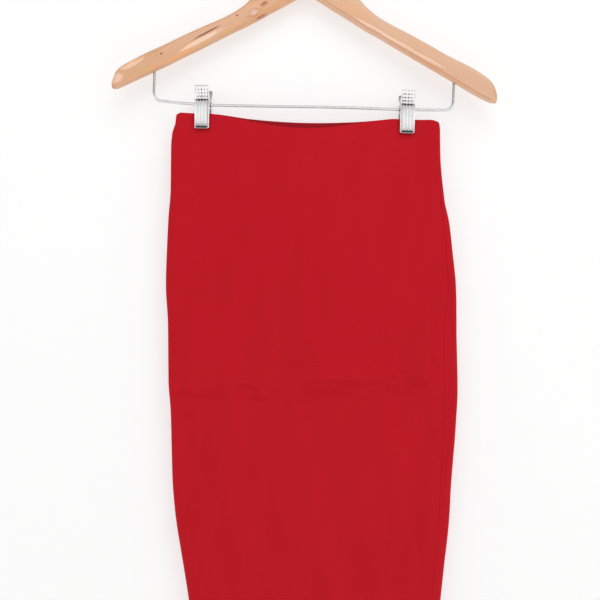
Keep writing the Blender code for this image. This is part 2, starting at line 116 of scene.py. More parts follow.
STEM_RADIUS = 1.9 * MM
STEM_FOOT = -100 * MM
STEM_TOP = -60 * MM
BAR_RADIUS = 1.5 * MM
BAR_HALF_SPAN = 173.4 * MM
BAR_LEVEL = -237.3 * MM
BAR_TOP = -193 * MM
BLIND_END = 1.5 * MM
GRAIN_SLOPE = math.radians(29)


def curve_through(table, columns, name):
    """A smooth curve through a column of a table in mm, with no hump that the numbers don't have."""
    at = np.array([row[0] for row in table]) * MM
    values = np.array([row[columns.index(name)] for row in table]) * MM
    steps = np.diff(values) / np.diff(at)
    level = steps[:-1] * steps[1:] <= 0
    mean = 2 * steps[:-1] * steps[1:] / np.where(level, 1, steps[:-1] + steps[1:])
    slopes = np.concatenate([steps[:1], np.where(level, 0, mean), steps[-1:]])

    def value(x):
        x = np.clip(x, at[0], at[-1])
        i = np.clip(np.searchsorted(at, x, side="right") - 1, 0, len(at) - 2)
        width = at[i + 1] - at[i]
        t = (x - at[i]) / width
        start = (1 + 2 * t) * (1 - t) ** 2 * values[i] + t * (1 - t) ** 2 * width * slopes[i]
        end = t * t * (3 - 2 * t) * values[i + 1] + t * t * (t - 1) * width * slopes[i + 1]
        return start + end

    return value


def shade(made, smooth_below):
    made.data.shade_smooth()
    made.data.set_sharp_from_angle(angle=smooth_below)


def mesh_object(name, points, edges, faces):
    """A mesh object at the origin."""
    mesh = bpy.data.meshes.new(name)
    mesh.from_pydata([tuple(point) for point in points], edges, faces)
    made = bpy.data.objects.new(name, mesh)
    bpy.context.scene.collection.objects.link(made)
    return made


def loft(name, rings, smooth_below=SMOOTH_BELOW):
    """Joins closed rings of equal length in a row, fills the first and the last, and faces all outwards."""
    size = len(rings[0])
    faces = [list(range(size))[::-1], list(range((len(rings) - 1) * size, len(rings) * size))]
    for row in range(len(rings) - 1):
        for i in range(size):
            a, b = row * size + i, row * size + (i + 1) % size
            faces.append([a, b, b + size, a + size])
    made = mesh_object(name, np.concatenate(rings), [], faces)
    made.data.validate()
    shade(made, smooth_below)
    shape = bmesh.new()
    shape.from_mesh(made.data)
    bmesh.ops.recalc_face_normals(shape, faces=shape.faces)
    shape.to_mesh(made.data)
    shape.free()
    return made


def rod(name, radius, start, end, sides=32):
    """A plain round rod between two points on a line along X or along Z, for cutting holes."""
    angles = np.arange(sides) * 2 * math.pi / sides
    turned = radius * np.stack([np.cos(angles), np.sin(angles)], 1)
    circle = np.insert(turned, 0 if start[0] != end[0] else 2, 0, axis=1)
    return loft(name, [circle + start, circle + end])


def settle(target):
    """Makes what the object's modifiers give its own plain mesh."""
    shape = target.evaluated_get(bpy.context.evaluated_depsgraph_get())
    made = bpy.data.meshes.new_from_object(shape)
    target.modifiers.clear()
    target.data = made
    made.name = target.name


def combine(target, other, operation):
    """Cuts the other shape out of the target or joins it on, and removes the other."""
    step = target.modifiers.new(operation.lower(), "BOOLEAN")
    step.operation = operation
    step.object = other
    settle(target)
    bpy.data.objects.remove(other)


def set_place(made, place):
    """Moves the mesh itself, so that the object stays at the origin."""
    made.data.transform(place)
    made.data.update()


arm_edge = {name: curve_through(ARM_STATIONS, ARM_COLUMNS, name) for name in ARM_COLUMNS[1:]}


def arm_ring(x, name, side):
    """An arm's cross-section at one distance from the middle: rounded but for a crisp lower edge in front."""
    lowered = ARM_DROOP[name] * (x / ARM_REACH) ** 2
    fuller = ARM_FULLER[name] * (1 - min(1, abs(x - ARM_FULLEST) / ARM_FULL_REACH) ** 2) ** 2
    top = arm_edge["top"](x) - lowered + fuller
    bottom = arm_edge["bottom"](x) - lowered - fuller
    past = max(0.0, x - (ARM_REACH - ARM_SIDE_ROUND)) / ARM_SIDE_ROUND
    half = ARM_THICK / 2 * math.sqrt(1 - ARM_TIP_THINNING * past**2)
    forward = -ARM_AHEAD - ARM_BOW * (x / ARM_REACH) ** 2
    outwards = side * (x - ARM_SHORTER[name] * (x / ARM_REACH) ** 8)
    limit = ARM_ROUND_LIMIT * min(top - bottom, 2 * half)
    on_top = min(ARM_TOP_ROUND, limit)
    in_front = min(ARM_BOTTOM_ROUNDS["front"], limit)
    behind = min(ARM_BOTTOM_ROUNDS["back"], limit)
    outline = []
    for y, z, radius, start in (
        (half - on_top, top - on_top, on_top, 0),
        (-half + on_top, top - on_top, on_top, 90),
        (-half + in_front, bottom + in_front, in_front, 180),
        (half - behind, bottom + behind, behind, 270),
    ):
        for angle in np.radians(np.linspace(start, start + 90, ARM_CORNER_POINTS)):
            outline.append((y + radius * math.cos(angle), z + radius * math.sin(angle)))
    ring = []
    for (y, z), (next_y, next_z) in zip(outline, outline[1:] + outline[:1]):
        ring.append((outwards, forward + y, z))
        if math.hypot(next_y - y, next_z - z) < ARM_FLAT_OVER:
            continue
        broad = abs(next_z - z) >= ARM_BROAD_OVER
        routed = name == "right" and y < 0 and z > next_z and abs(next_y - y) < 0.01 * MM
        line_steps = (ROUTED_LINE - ROUTED_HALF, ROUTED_LINE, ROUTED_LINE + ROUTED_HALF) if routed else ()
        for t in ARM_FACE_STEPS + line_steps:
            crown = ARM_CROWN * (1 - past) * (1 - (2 * t - 1) ** 2) * np.sign(next_z - z) if broad else 0.0
            if routed and t == ROUTED_LINE:
                crown += ROUTED_DEPTH * (1 - past)
            ring.append((outwards, forward + y + t * (next_y - y) + crown, z + t * (next_z - z)))
    return np.array(ring)


def arm(name, side):
    """One half of the hanger: a loft with a rounded tip, drilled for the stem and for the bar."""
    first = FIT_GAP / 2
    stations = [first, *np.linspace(first, ARM_SHOULDER, int(ARM_SHOULDER / ARM_STEP))[1:]]
    stations += [stations[-1] + (ARM_TIP - stations[-1]) * math.sin(t) for t in np.radians(ARM_TIP_TURN)]
    rings = [arm_ring(x, name, side) for x in stations]
    end = rings[-1]
    middle = end.mean(axis=0)
    for share, out in ARM_TIP_CAP:
        rings.append(middle + (end - middle) * share + (side * out * MM, 0, 0))
    made = loft(f"wooden_arm_{name}", rings)
    end_x = side * BAR_HALF_SPAN
    for hole, radius, low, high in (
        ("stem_hole", STEM_RADIUS, (0, 0, STEM_FOOT - BLIND_END), (0, 0, STEM_TOP)),
        ("bar_hole", BAR_RADIUS, (end_x, BODY_PLANE, BAR_LEVEL), (end_x, BODY_PLANE, BAR_TOP + BLIND_END)),
    ):
        combine(made, rod(hole, radius + FIT_GAP, low, high), "DIFFERENCE")
    shade(made, SMOOTH_BELOW)
    set_place(made, TILTED)
    return made


def feed(inputs, values):
    """Links each input of a node to the socket that it is given, and sets any other to its plain value."""
    for name, value in values.items():
        if isinstance(value, bpy.types.NodeSocket):
            value.id_data.links.new(value, inputs[name])
        else:
            inputs[name].default_value = value


def node(tree, kind, inputs=None, **settings):
    """Adds a node to a tree and gives its outputs."""
    made = tree.nodes.new(kind)
    for setting, value in settings.items():
        setattr(made, setting, value)
    feed(made.inputs, inputs or {})
    return made.outputs


def maths(operation, *values, kind="ShaderNodeMath"):
    """The result of a maths node in the tree of the first socket among its values."""
    tree = next(value for value in values if isinstance(value, bpy.types.NodeSocket)).id_data
    return node(tree, kind, dict(enumerate(values)), operation=operation)[0]


def vectors(operation, *values):
    return maths(operation, *values, kind="ShaderNodeVectorMath")


def ramp(value, low, high, to_low=0.0, to_high=1.0):
    """A smooth step of a value between two levels."""
    inputs = {"Value": value, "From Min": low, "From Max": high, "To Min": to_low, "To Max": to_high}
    return node(value.id_data, "ShaderNodeMapRange", inputs, interpolation_type="SMOOTHSTEP")["Result"]


def blend_colors(share, low, high):
    return node(share.id_data, "ShaderNodeMix", data_type="RGBA", inputs={0: share, 6: low, 7: high})[2]


def noise(place, scale, detail):
    inputs = {"Vector": place, "Scale": scale, "Detail": detail}
    return node(place.id_data, "ShaderNodeTexNoise", inputs)["Fac"]


def stretched_noise(place, times, detail):
    """Noise with its own number of waves a metre along each axis."""
    return noise(vectors("MULTIPLY", place, times), 1.0, detail)


def bump(height, strength, distance):
    inputs = {"Height": height, "Strength": strength, "Distance": distance}
    return node(height.id_data, "ShaderNodeBump", inputs)[0]


def group(kind, name, inputs, outputs):
    """An empty node group with named sockets and their kinds, and the nodes' sides that hold them."""
    tree = bpy.data.node_groups.new(name, f"{kind}NodeTree")
    for way, sockets in (("INPUT", inputs), ("OUTPUT", outputs)):
        for socket, holds in sockets.items():
            tree.interface.new_socket(name=socket, in_out=way, socket_type=f"NodeSocket{holds}")
    return tree, tree.nodes.new("NodeGroupInput").outputs, tree.nodes.new("NodeGroupOutput").inputs


def material(name):
    """A new material: itself, its node tree and its Principled shader's inputs."""
    made = bpy.data.materials.new(name)
    made.use_nodes = True
    return made, made.node_tree, made.node_tree.nodes["Principled BSDF"].inputs


def object_place(tree):
    """A material's Object coordinates, in metres."""
    return node(tree, "ShaderNodeTexCoord")["Object"]


# The grain of both boards: growth lines drawn out along the slope and bent where the wood grew round a knot,
# with fine pores and slow patches. Place is in metres, with X along the grain and Z up the face.
FINISH_OUT = {"Color": "Color", "Roughness": "Float", "Height": "Float"}
LINES_UP, LINES_THROUGH, LINES_DRIFT = 1500, 500, 26  # radians of growth lines a metre, and their wandering
grain, given, out = group("Shader", "wood_grain", {
    "Place": "Vector", "Pale": "Color", "Brown": "Color", "Warm": "Color",
    "Lines": "Float", "Pores": "Float", "Patches": "Float", "Bend": "Float",
}, FINISH_OUT)
drift = stretched_noise(given["Place"], (7, 60, 60), 4.0)
split = node(grain, "ShaderNodeSeparateXYZ", {"Vector": given["Place"]})
level = maths("ADD", maths("MULTIPLY", split["Z"], LINES_UP), maths("MULTIPLY", split["Y"], LINES_THROUGH))
level = maths("ADD", maths("ADD", level, given["Bend"]), maths("MULTIPLY", drift, LINES_DRIFT))
lines = maths("MULTIPLY", ramp(maths("SINE", level), 0.0, 1.0), ramp(drift, 0.35, 0.65, 0.25, 1.0))
pores = ramp(stretched_noise(given["Place"], (260, 3200, 3200), 2.0), 0.58, 0.7)
patches = ramp(stretched_noise(given["Place"], (14, 34, 60), 3.0), 0.42, 0.68)
tone = blend_colors(maths("MULTIPLY", patches, given["Patches"]), given["Pale"], given["Warm"])
tone = blend_colors(maths("MULTIPLY", lines, given["Lines"]), tone, given["Brown"])
tone = blend_colors(maths("MULTIPLY", pores, given["Pores"]), tone, given["Brown"])
feed(out, {
    "Color": tone,
    "Roughness": maths("ADD", 0.36, maths("MULTIPLY", pores, 0.12)),
    "Height": maths("SUBTRACT", maths("MULTIPLY", lines, 0.3), pores),
})

# A mark in the wood: a soft-edged ellipse about a centre, both in metres in the grain's own place.
mark_inputs = {"Place": "Vector", "Centre": "Vector", "Reach": "Vector", "Raggedness": "Float"}
mark, given, out = group("Shader", "wood_mark", mark_inputs, {"Mask": "Float", "Distance": "Float"})
away = vectors("DIVIDE", vectors("SUBTRACT", given["Place"], given["Centre"]), given["Reach"])
distance = node(mark, "ShaderNodeVectorMath", {0: away}, operation="LENGTH")["Value"]
ragged = maths("SUBTRACT", stretched_noise(given["Place"], (300, 900, 900), 2.0), 0.5)
distance = maths("ADD", distance, maths("MULTIPLY", ragged, given["Raggedness"]))
feed(out, {"Mask": ramp(distance, 0.65, 1.15, 1.0, 0.0), "Distance": distance})


def wood(name, slope, shift, colors, amounts, marks, bends=()):
    """Lacquered wood. Each mark is a centre, a reach, a colour, a strength and a raggedness."""
    made, tree, shader = material(name)
    turned = {"Vector": object_place(tree), "Rotation": (0, slope, 0), "Location": shift}
    place = node(tree, "ShaderNodeMapping", turned)[0]

    def spot(centre, reach, raggedness):
        inputs = {"Place": place, "Centre": centre, "Reach": reach, "Raggedness": raggedness}
        return node(tree, "ShaderNodeGroup", inputs, node_tree=mark)

    bend = 0.0
    for centre, reach, push in bends:
        near = ramp(spot(centre, reach, 0.0)["Distance"], 0, 2, 1, 0)
        bend = maths("ADD", bend, maths("MULTIPLY", near, push))
    inputs = {"Place": place, "Bend": bend, **colors, **amounts}
    figure = node(tree, "ShaderNodeGroup", inputs, node_tree=grain)
    tone = figure["Color"]
    for centre, reach, color, strength, raggedness in marks:
        tone = blend_colors(maths("MULTIPLY", spot(centre, reach, raggedness)["Mask"], strength), tone, color)
    feed(shader, {
        "Base Color": tone,
        "Roughness": figure["Roughness"],
        "Normal": bump(figure["Height"], 0.25, 0.05 * MM),
        "Coat Weight": 0.3,
        "Coat Roughness": 0.18,
    })
    return made


# What marks the boards, each as x and z in mm, reach along and across the grain in mm, colour, strength and
# raggedness. The left one has a pale streak of painted highlight along the middle of its face, warm and ochre
# patches, a small knot, a dark slit, specks and a burl at the neck. The right one has a warm patch at the
# neck, pale streaks of painted highlight along the middle of its face, and warm streaks of painted shade
# below them, near its lower edge.
PALE_PINK, ORANGE, OCHRE = (0.86, 0.62, 0.47, 1), (0.72, 0.33, 0.13, 1), (0.6, 0.36, 0.12, 1)
GREY_BROWN, DARK_BROWN, DARK_RED = (0.34, 0.2, 0.14, 1), (0.2, 0.06, 0.02, 1), (0.3, 0.06, 0.02, 1)
KNOT = (-171, -178.3)
BURL = (-64.5, -129.3)
KNOTTY_BOARD_MARKS = (
    # This first pale streak, along the middle of the face, is a painted highlight.
    (-127, -162.8, 30, 2.8, PALE_PINK, 0.7, 0.8),
    (-205, -190.8, 16, 4.0, PALE_PINK, 0.5, 1.0),
    (-222, -207.8, 9, 6.0, PALE_PINK, 0.6, 0.6),
    (-148, -178.8, 24, 2.8, ORANGE, 0.85, 1.2),
    (-199, -185.8, 7, 2.6, ORANGE, 0.55, 1.2),
    (-211, -190.8, 6, 2.4, ORANGE, 0.5, 1.2),
    (-181, -192.8, 9, 3.0, ORANGE, 0.5, 1.2),
    (-94, -150.8, 8, 3.4, OCHRE, 0.5, 1.3),
    (-123, -165.8, 8, 3.2, OCHRE, 0.5, 1.3),
    (-188, -196.8, 9, 3.4, OCHRE, 0.6, 1.2),
    (*KNOT, 3.8, 2.5, ORANGE, 0.8, 0.8),
    (*KNOT, 2.6, 1.6, GREY_BROWN, 0.85, 0.5),
    (-171.3, -178.6, 1.1, 0.8, DARK_BROWN, 0.9, 0.3),
    (-176.5, -180.6, 1.0, 0.8, GREY_BROWN, 0.8, 0.3),
    (-119, -152.9, 19, 1.25, DARK_BROWN, 0.95, 0.3),
    (-84.5, -132.8, 2.0, 1.3, DARK_RED, 0.9, 0.4),
    (*BURL, 8, 5.0, DARK_RED, 0.4, 1.6),
    (*BURL, 6, 3.4, PALE_PINK, 0.5, 1.8),
    (-53, -118.8, 5.5, 2.4, DARK_RED, 0.75, 1.4),
    (-56, -133.5, 8, 1.8, DARK_RED, 0.75, 1.4),
)
EVEN_BOARD_MARKS = (
    (52, -126, 24, 7.0, ORANGE, 0.3, 1.0),
    # These three pale streaks along the middle of the face are painted highlight.
    (71, -145.7, 24, 1.8, PALE_PINK, 0.5, 0.8),
    (100, -163.3, 26, 1.8, PALE_PINK, 0.55, 0.8),
    (134, -183.3, 26, 1.8, PALE_PINK, 0.5, 0.8),
    # These four warm streaks below them are painted shade near the lower edge.
    (67, -150.8, 24, 1.7, ORANGE, 0.4, 0.8),
    (100, -170.3, 26, 1.7, ORANGE, 0.4, 0.8),
    (133, -189.5, 26, 1.7, ORANGE, 0.4, 0.8),
    (166, -209, 22, 1.7, ORANGE, 0.35, 0.8),
)
MARK_DEPTH = 12 * MM
EVEN_BOARD_SHIFT = (0.3, 0.2, 0.1)


def in_grain(x, z, slope, shift):
    """A point in mm on the front of a board, turned into the grain's own place."""
    return Euler((0, slope, 0)).to_matrix() @ Vector((x * MM, -MARK_DEPTH, z * MM)) + Vector(shift)


def board_marks(rows, slope, shift):
    for x, z, long, wide, *look in rows:
        yield (in_grain(x, z, slope, shift), (long * MM, MARK_DEPTH, wide * MM), *look)


light_wood = wood(
    "light_wood_lacquered", GRAIN_SLOPE, (0, 0, 0),
    {"Pale": (0.63, 0.345, 0.195, 1), "Brown": (0.4, 0.17, 0.08, 1), "Warm": (0.6, 0.275, 0.11, 1)},
    {"Lines": 0.22, "Pores": 0.12, "Patches": 0.8},
    board_marks(KNOTTY_BOARD_MARKS, GRAIN_SLOPE, (0, 0, 0)),
    bends=[
        (in_grain(*KNOT, GRAIN_SLOPE, (0, 0, 0)), (6 * MM, 40 * MM, 4 * MM), 3.0),
        (in_grain(*BURL, GRAIN_SLOPE, (0, 0, 0)), (11 * MM, 40 * MM, 7 * MM), 5.0),
    ],
)
tan_wood = wood(
    "tan_wood_lacquered", -GRAIN_SLOPE, EVEN_BOARD_SHIFT,
    {"Pale": (0.64, 0.375, 0.235, 1), "Brown": (0.48, 0.24, 0.13, 1), "Warm": (0.61, 0.325, 0.175, 1)},
    {"Lines": 0.12, "Pores": 0.1, "Patches": 0.5},
    board_marks(EVEN_BOARD_MARKS, -GRAIN_SLOPE, EVEN_BOARD_SHIFT),
)
for name, side, finish in (("left", -1, light_wood), ("right", 1, tan_wood)):
    made = arm(name, side)
    made.data.materials.append(finish)
    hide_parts(f"hanger_arm_{name}")
    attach(made, "root")


# Hook and bar. Both are bent from plated steel wire. The hook's stem is driven between the two arms, and its
# mouth is open on the left. The bar's ends turn up into the arms, and hanging clothes have bent it a little.
BAR_BEND = 9 * MM
BAR_COLUMNS = ("x", "below")
BAR_BENDS = (
    (-164.4, -0.6),
    (-139, 1.1),
    (-106.6, 2.2),
    (-70, 1.8),
    (-12, 0.85),
    (35, 0),
    (70, -0.1),
    (95, 0.1),
    (130, -0.3),
    (164.4, -1.0),
)
HOOK_BEND = 21 * MM  # radius of the wire's middle line round the rail
HOOK_PULL = 11 * MM
HOOK_JOIN = math.radians(-55)
HOOK_TIP = math.radians(208)
WIRE_STEP = 1.6 * MM
WIRE_SIDES = 24


def hook_line():
    """Up the stem, sideways into the round, over the crest and down to the open mouth on the left."""
    centre = STEM_RADIUS - HOOK_BEND
    join = np.array([HOOK_BEND * math.cos(HOOK_JOIN), centre + HOOK_BEND * math.sin(HOOK_JOIN)])
    heading = np.array([-math.sin(HOOK_JOIN), math.cos(HOOK_JOIN)])
    shoulder = np.array([0, STEM_TOP])
    controls = (shoulder, shoulder + (0, HOOK_PULL), join - heading * HOOK_PULL, join)
    bend = []
    for t in np.linspace(0, 1, 17)[:-1]:
        weights = ((1 - t) ** 3, 3 * t * (1 - t) ** 2, 3 * t * t * (1 - t), t**3)
        bend.append(sum(weight * point for weight, point in zip(weights, controls)))
    angles = np.linspace(HOOK_JOIN, HOOK_TIP, 60)
    rounded = [(HOOK_BEND * math.cos(a), centre + HOOK_BEND * math.sin(a)) for a in angles]
    return [(x, 0, z) for x, z in [(0, STEM_FOOT), *bend, *rounded]]


bar_below = curve_through(BAR_BENDS, BAR_COLUMNS, "below")


def bar_level(x):
    """z of the bar's middle line before the hanger's tilt."""
    return BAR_LEVEL - bar_below(x)


def bar_line():
    """Down out of the left arm, across, and up into the right arm."""
    inner = BAR_HALF_SPAN - BAR_BEND
    turns = np.radians(np.linspace(0, 90, 13))
    across = [(x, bar_level(x)) for x in np.linspace(-inner, inner, 61)[1:-1]]
    ends = []
    for side in (-1, 1):
        up_from = bar_level(side * inner) + BAR_BEND
        turned = [(side * (inner + BAR_BEND * math.cos(a)), up_from - BAR_BEND * math.sin(a)) for a in turns]
        ends.append([(side * BAR_HALF_SPAN, BAR_TOP), *turned])
    return [(x, BODY_PLANE, z) for x, z in ends[0] + across + ends[1][::-1]]


def line_object(name, lines):
    """A mesh of bare edges, one run for each line of points."""
    points, edges = [], []
    for line in lines:
        edges += [(len(points) + i, len(points) + i + 1) for i in range(len(line) - 1)]
        points += list(line)
    return mesh_object(name, points, edges, [])


def grow(made, tree, inputs):
    """Runs a geometry tree on an object and keeps the result as the object's own plain mesh."""
    step = made.modifiers.new(tree.name, "NODES")
    step.node_group = tree
    for item in tree.interface.items_tree:
        if item.in_out == "INPUT" and item.name in inputs:
            step[item.identifier] = inputs[item.name]
    settle(made)


def even_path(tree, edges, step):
    """Edges as curves with their points an even step apart."""
    path = node(tree, "GeometryNodeMeshToCurve", {"Mesh": edges})[0]
    return node(tree, "GeometryNodeResampleCurve", {"Curve": path, "Length": step}, mode="LENGTH")[0]


def put_out(tree, shape, finish, out):
    """Ends a geometry tree with one smooth shape in its material."""
    shape = node(tree, "GeometryNodeSetShadeSmooth", {"Geometry": shape})[0]
    shape = node(tree, "GeometryNodeRealizeInstances", {"Geometry": shape})[0]
    feed(out, {"Geometry": node(tree, "GeometryNodeSetMaterial", {"Geometry": shape, "Material": finish})[0]})


# A round wire along a line of edges, its ends rounded off.
SHAPE_OUT = {"Geometry": "Geometry"}
bent_wire, given, out = group("Geometry", "bent_wire", {
    "Geometry": "Geometry", "Radius": "Float", "Step": "Float", "Sides": "Int", "Finish": "Material",
}, SHAPE_OUT)
path = even_path(bent_wire, given["Geometry"], given["Step"])
run = node(bent_wire, "GeometryNodeSplineParameter")["Length"]
total = node(bent_wire, "GeometryNodeSplineLength")["Length"]
to_end = maths("DIVIDE", maths("MINIMUM", run, maths("SUBTRACT", total, run)), given["Radius"])
inset = maths("SUBTRACT", 1.0, maths("MINIMUM", 1.0, to_end))
girth = maths("MINIMUM", maths("SQRT", maths("SUBTRACT", 1.02, maths("POWER", inset, 2.0))), 1.0)
rim = {"Resolution": given["Sides"], "Radius": given["Radius"]}
rim = node(bent_wire, "GeometryNodeCurvePrimitiveCircle", rim)[0]
tube = {"Curve": path, "Profile Curve": rim, "Scale": girth, "Fill Caps": True}
put_out(bent_wire, node(bent_wire, "GeometryNodeCurveToMesh", tube)[0], given["Finish"], out)

# The bright plating of hook, bar, springs and clips: slow clouds in its polish and fine rubbed scratches.
plating_inputs = {"Place": "Vector", "Color": "Color", "Polish": "Float", "Wear": "Float"}
plating, given, out = group("Shader", "plating", plating_inputs, FINISH_OUT)
dulled = maths("MULTIPLY", ramp(noise(given["Place"], 120.0, 3.0), 0.45, 0.75), given["Wear"])
brightness = maths("SUBTRACT", 1.0, maths("MULTIPLY", dulled, 0.12))
feed(out, {
    "Color": node(plating, "ShaderNodeHueSaturation", {"Color": given["Color"], "Value": brightness})[0],
    "Roughness": maths("ADD", given["Polish"], maths("MULTIPLY", dulled, 0.12)),
    "Height": noise(vectors("MULTIPLY", given["Place"], (900, 900, 130)), 3.0, 2.0),
})


def plated(name, color, polish, wear, painted_shade=False):
    """Plated steel. A pressed piece has an attribute of painted shade, which darkens its hollows and grooves
    near black, and Inside for its dull back.
    """
    made, tree, shader = material(name)
    inputs = {"Place": object_place(tree), "Color": color, "Polish": polish, "Wear": wear}
    coat = node(tree, "ShaderNodeGroup", inputs, node_tree=plating)
    tone, rough = coat["Color"], coat["Roughness"]
    if painted_shade:
        deep = node(tree, "ShaderNodeAttribute", attribute_name="PaintedShade")["Fac"]
        inside = node(tree, "ShaderNodeAttribute", attribute_name="Inside")["Fac"]
        # Painted shade: hollows between studs, the studs' lower edges and the grooves are darkened near
        # black.
        tone = blend_colors(deep, tone, (0.02, 0.02, 0.022, 1))
        rough = maths("ADD", rough, maths("MULTIPLY", deep, 0.3))
        rough = maths("ADD", rough, maths("MULTIPLY", inside, 0.35))
    normal = bump(coat["Height"], 0.06, 0.02 * MM)
    feed(shader, {"Base Color": tone, "Roughness": rough, "Metallic": 1.0, "Normal": normal})
    return made


chrome_wire = plated("chrome_wire", (0.5, 0.5, 0.51, 1), polish=0.26, wear=0.4)
for name, line, radius, replaced in (
    ("hook_wire", hook_line(), STEM_RADIUS, "hook"),
    ("bar_wire", bar_line(), BAR_RADIUS, "trouser_bar"),
):
    made = line_object(name, [line])
    grow(made, bent_wire, {"Radius": radius, "Step": WIRE_STEP, "Sides": WIRE_SIDES, "Finish": chrome_wire})
    set_place(made, TILTED)
    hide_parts(replaced)
    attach(made, "root")


# Clips. Each is two pressed legs of thin plated steel that turn on the bar, which runs through their drilled
# cheeks. The legs are fluted, with pressed studs at the top, a curled thumb edge and a slot by the jaw.
CLIPS = {
    "left": {"x": -123.7 * MM, "turn": math.radians(-4.5), "lean": math.radians(1.6)},
    "right": {"x": 112.3 * MM, "turn": math.radians(1.5), "lean": math.radians(1.4)},
}
FACINGS = {"front": -1, "back": 1}  # the way along Y that each faces
SHEET = 0.8 * MM
CLIP_HANG = 0.6 * MM
CLIP_HOLE = 3.0 * MM
CLIP_HOLE_REACH = 12 * MM
LEG_COLUMNS = ("up", "out", "half")
LEG_FACE = (
    (-28.7, 6.2, 8.4),
    (-27.2, 6.2, 8.7),
    (-2.3, 7.6, 8.6),
    (6.2, 8.0, 8.5),
    (17.4, 13.3, 7.9),
)
LEG_FOOT = LEG_FACE[0][0] * MM
LEG_BEND = LEG_FACE[-1][0] * MM
LEG_FOOT_ROUND = 2.2 * MM
LEG_FOOT_ROWS = np.array((0, 0.25, 0.6, 1.1, 1.6)) * MM
LEG_ROWS_FROM = 2.1 * MM
LEG_ROW = 0.3 * MM
LEG_FACE_POINTS = 95
LEG_CORNER = 1.1 * MM  # how sharply the face turns into its sides
LEG_INNER_CORNER = 0.25 * MM
LEG_SIDE_GAP = 3.6 * MM  # how near to the middle plane the turned sides come
LEG_SIDE_LEAST = 0.1 * MM
LEG_SIDE_ABOVE = 0.2 * MM
LIP_RADIUS = 1.3 * MM
LIP_TURN = math.radians(170)
SIDE_FADE = 9 * MM  # over which the sides run out above the cheeks
CHEEK_UP = (-7.5 * MM, 5.0 * MM)
CHEEK_PAST_BAR = 4.4 * MM
CHEEK_HALF = 8.2 * MM  # from a clip's middle to the outside of its front leg's cheeks
CHEEK_INTO_FACE = 0.6 * MM
CHEEK_NOSE_TURN = 62
FLUTES = 4
FLUTE_PITCH = 3.55 * MM
FLUTE_ENDS = (-24.3 * MM, 3.5 * MM)
FLUTE_TEETH = 2.5 * MM
FLUTE_DEPTH = 0.34 * MM
FLUTE_SOFT = 0.35 * MM
STUD_PITCH = 3.3 * MM
STUD_ROWS_FROM = 4.5 * MM
STUD_HEIGHT = 0.22 * MM
# The groove between flutes and studs is also painted dark as shade.
BAND_DEPTH = 0.5 * MM  # the dark groove between flutes and studs
BAND_SOFT = 0.25 * MM
RIM_DEPTH = 0.15 * MM  # the grooves beside the pattern
SLOT_UP = (-28.0 * MM, -25.5 * MM)
SLOT_HALF = 6.9 * MM
SLOT_LOBE = 1.35 * MM
SLOT_THROUGH = (1.0 * MM, 8.0 * MM)
# How dark the painted shade is in the hollows between studs, for each gap between columns from left to right,
# how strongly it is painted along the studs' lower edges in each column, and how dark the grooves beside the
# pattern are painted as shade.
HOLLOW_SHADE = {"left": (0.3, 0.55, 1.0, 0.6, 1.0), "right": (0.85, 0.9, 1.0, 0.65, 0.3)}
STUD_EDGE_SHADE = {"left": (0.1, 0.15, 0.15, 0.1), "right": (0.95, 0.3, 0.45, 0.25)}
RIM_SHADE = {"left": (0.0, 0.85), "right": (0.45, 0.15)}


def ease(t):
    t = np.clip(t, 0, 1)
    return t * t * (3 - 2 * t)


def over(value, edge, soft):
    """1 where a value is over an edge and 0 under it, with a soft step just above the edge."""
    return ease((value - edge) / soft)


def under(value, edge, soft):
    """1 where a value is under an edge and 0 over it, with a soft step just below the edge."""
    return ease((edge - value) / soft)


def clip_frame(side):
    """Where a clip hangs on the bar: plumb but for its own turn and lean."""
    clip = CLIPS[side]
    along = (clip["x"] - BAR_LEVEL * math.sin(HANGER_TILT)) / math.cos(HANGER_TILT)
    bar_z = bar_level(along) * math.cos(HANGER_TILT) - along * math.sin(HANGER_TILT)
    turned = Euler((0, clip["lean"], clip["turn"])).to_matrix().to_4x4()
    return Matrix.Translation((clip["x"], BODY_PLANE, bar_z)) @ turned


leg_out = curve_through(LEG_FACE, LEG_COLUMNS, "out")
leg_half = curve_through(LEG_FACE, LEG_COLUMNS, "half")


def leg_line():
    """The face's middle line from the foot to the rolled lip, as out and up, and the outward direction."""
    ups = np.concatenate([LEG_FOOT + LEG_FOOT_ROWS, np.arange(LEG_FOOT + LEG_ROWS_FROM, LEG_BEND, LEG_ROW)])
    line = [(leg_out(up), up) for up in ups]
    level = math.atan2(leg_out(LEG_BEND - 0.5 * MM) - leg_out(LEG_BEND), 0.5 * MM)
    middle = (leg_out(LEG_BEND) - LIP_RADIUS * math.cos(level), LEG_BEND - LIP_RADIUS * math.sin(level))
    for a in np.linspace(level, level + LIP_TURN, 15):
        line.append((middle[0] + LIP_RADIUS * math.cos(a), middle[1] + LIP_RADIUS * math.sin(a)))
    line = np.array(line)
    ahead = np.gradient(line, axis=0)
    ahead /= np.linalg.norm(ahead, axis=1, keepdims=True)
    return line, np.stack([ahead[:, 1], -ahead[:, 0]], 1)


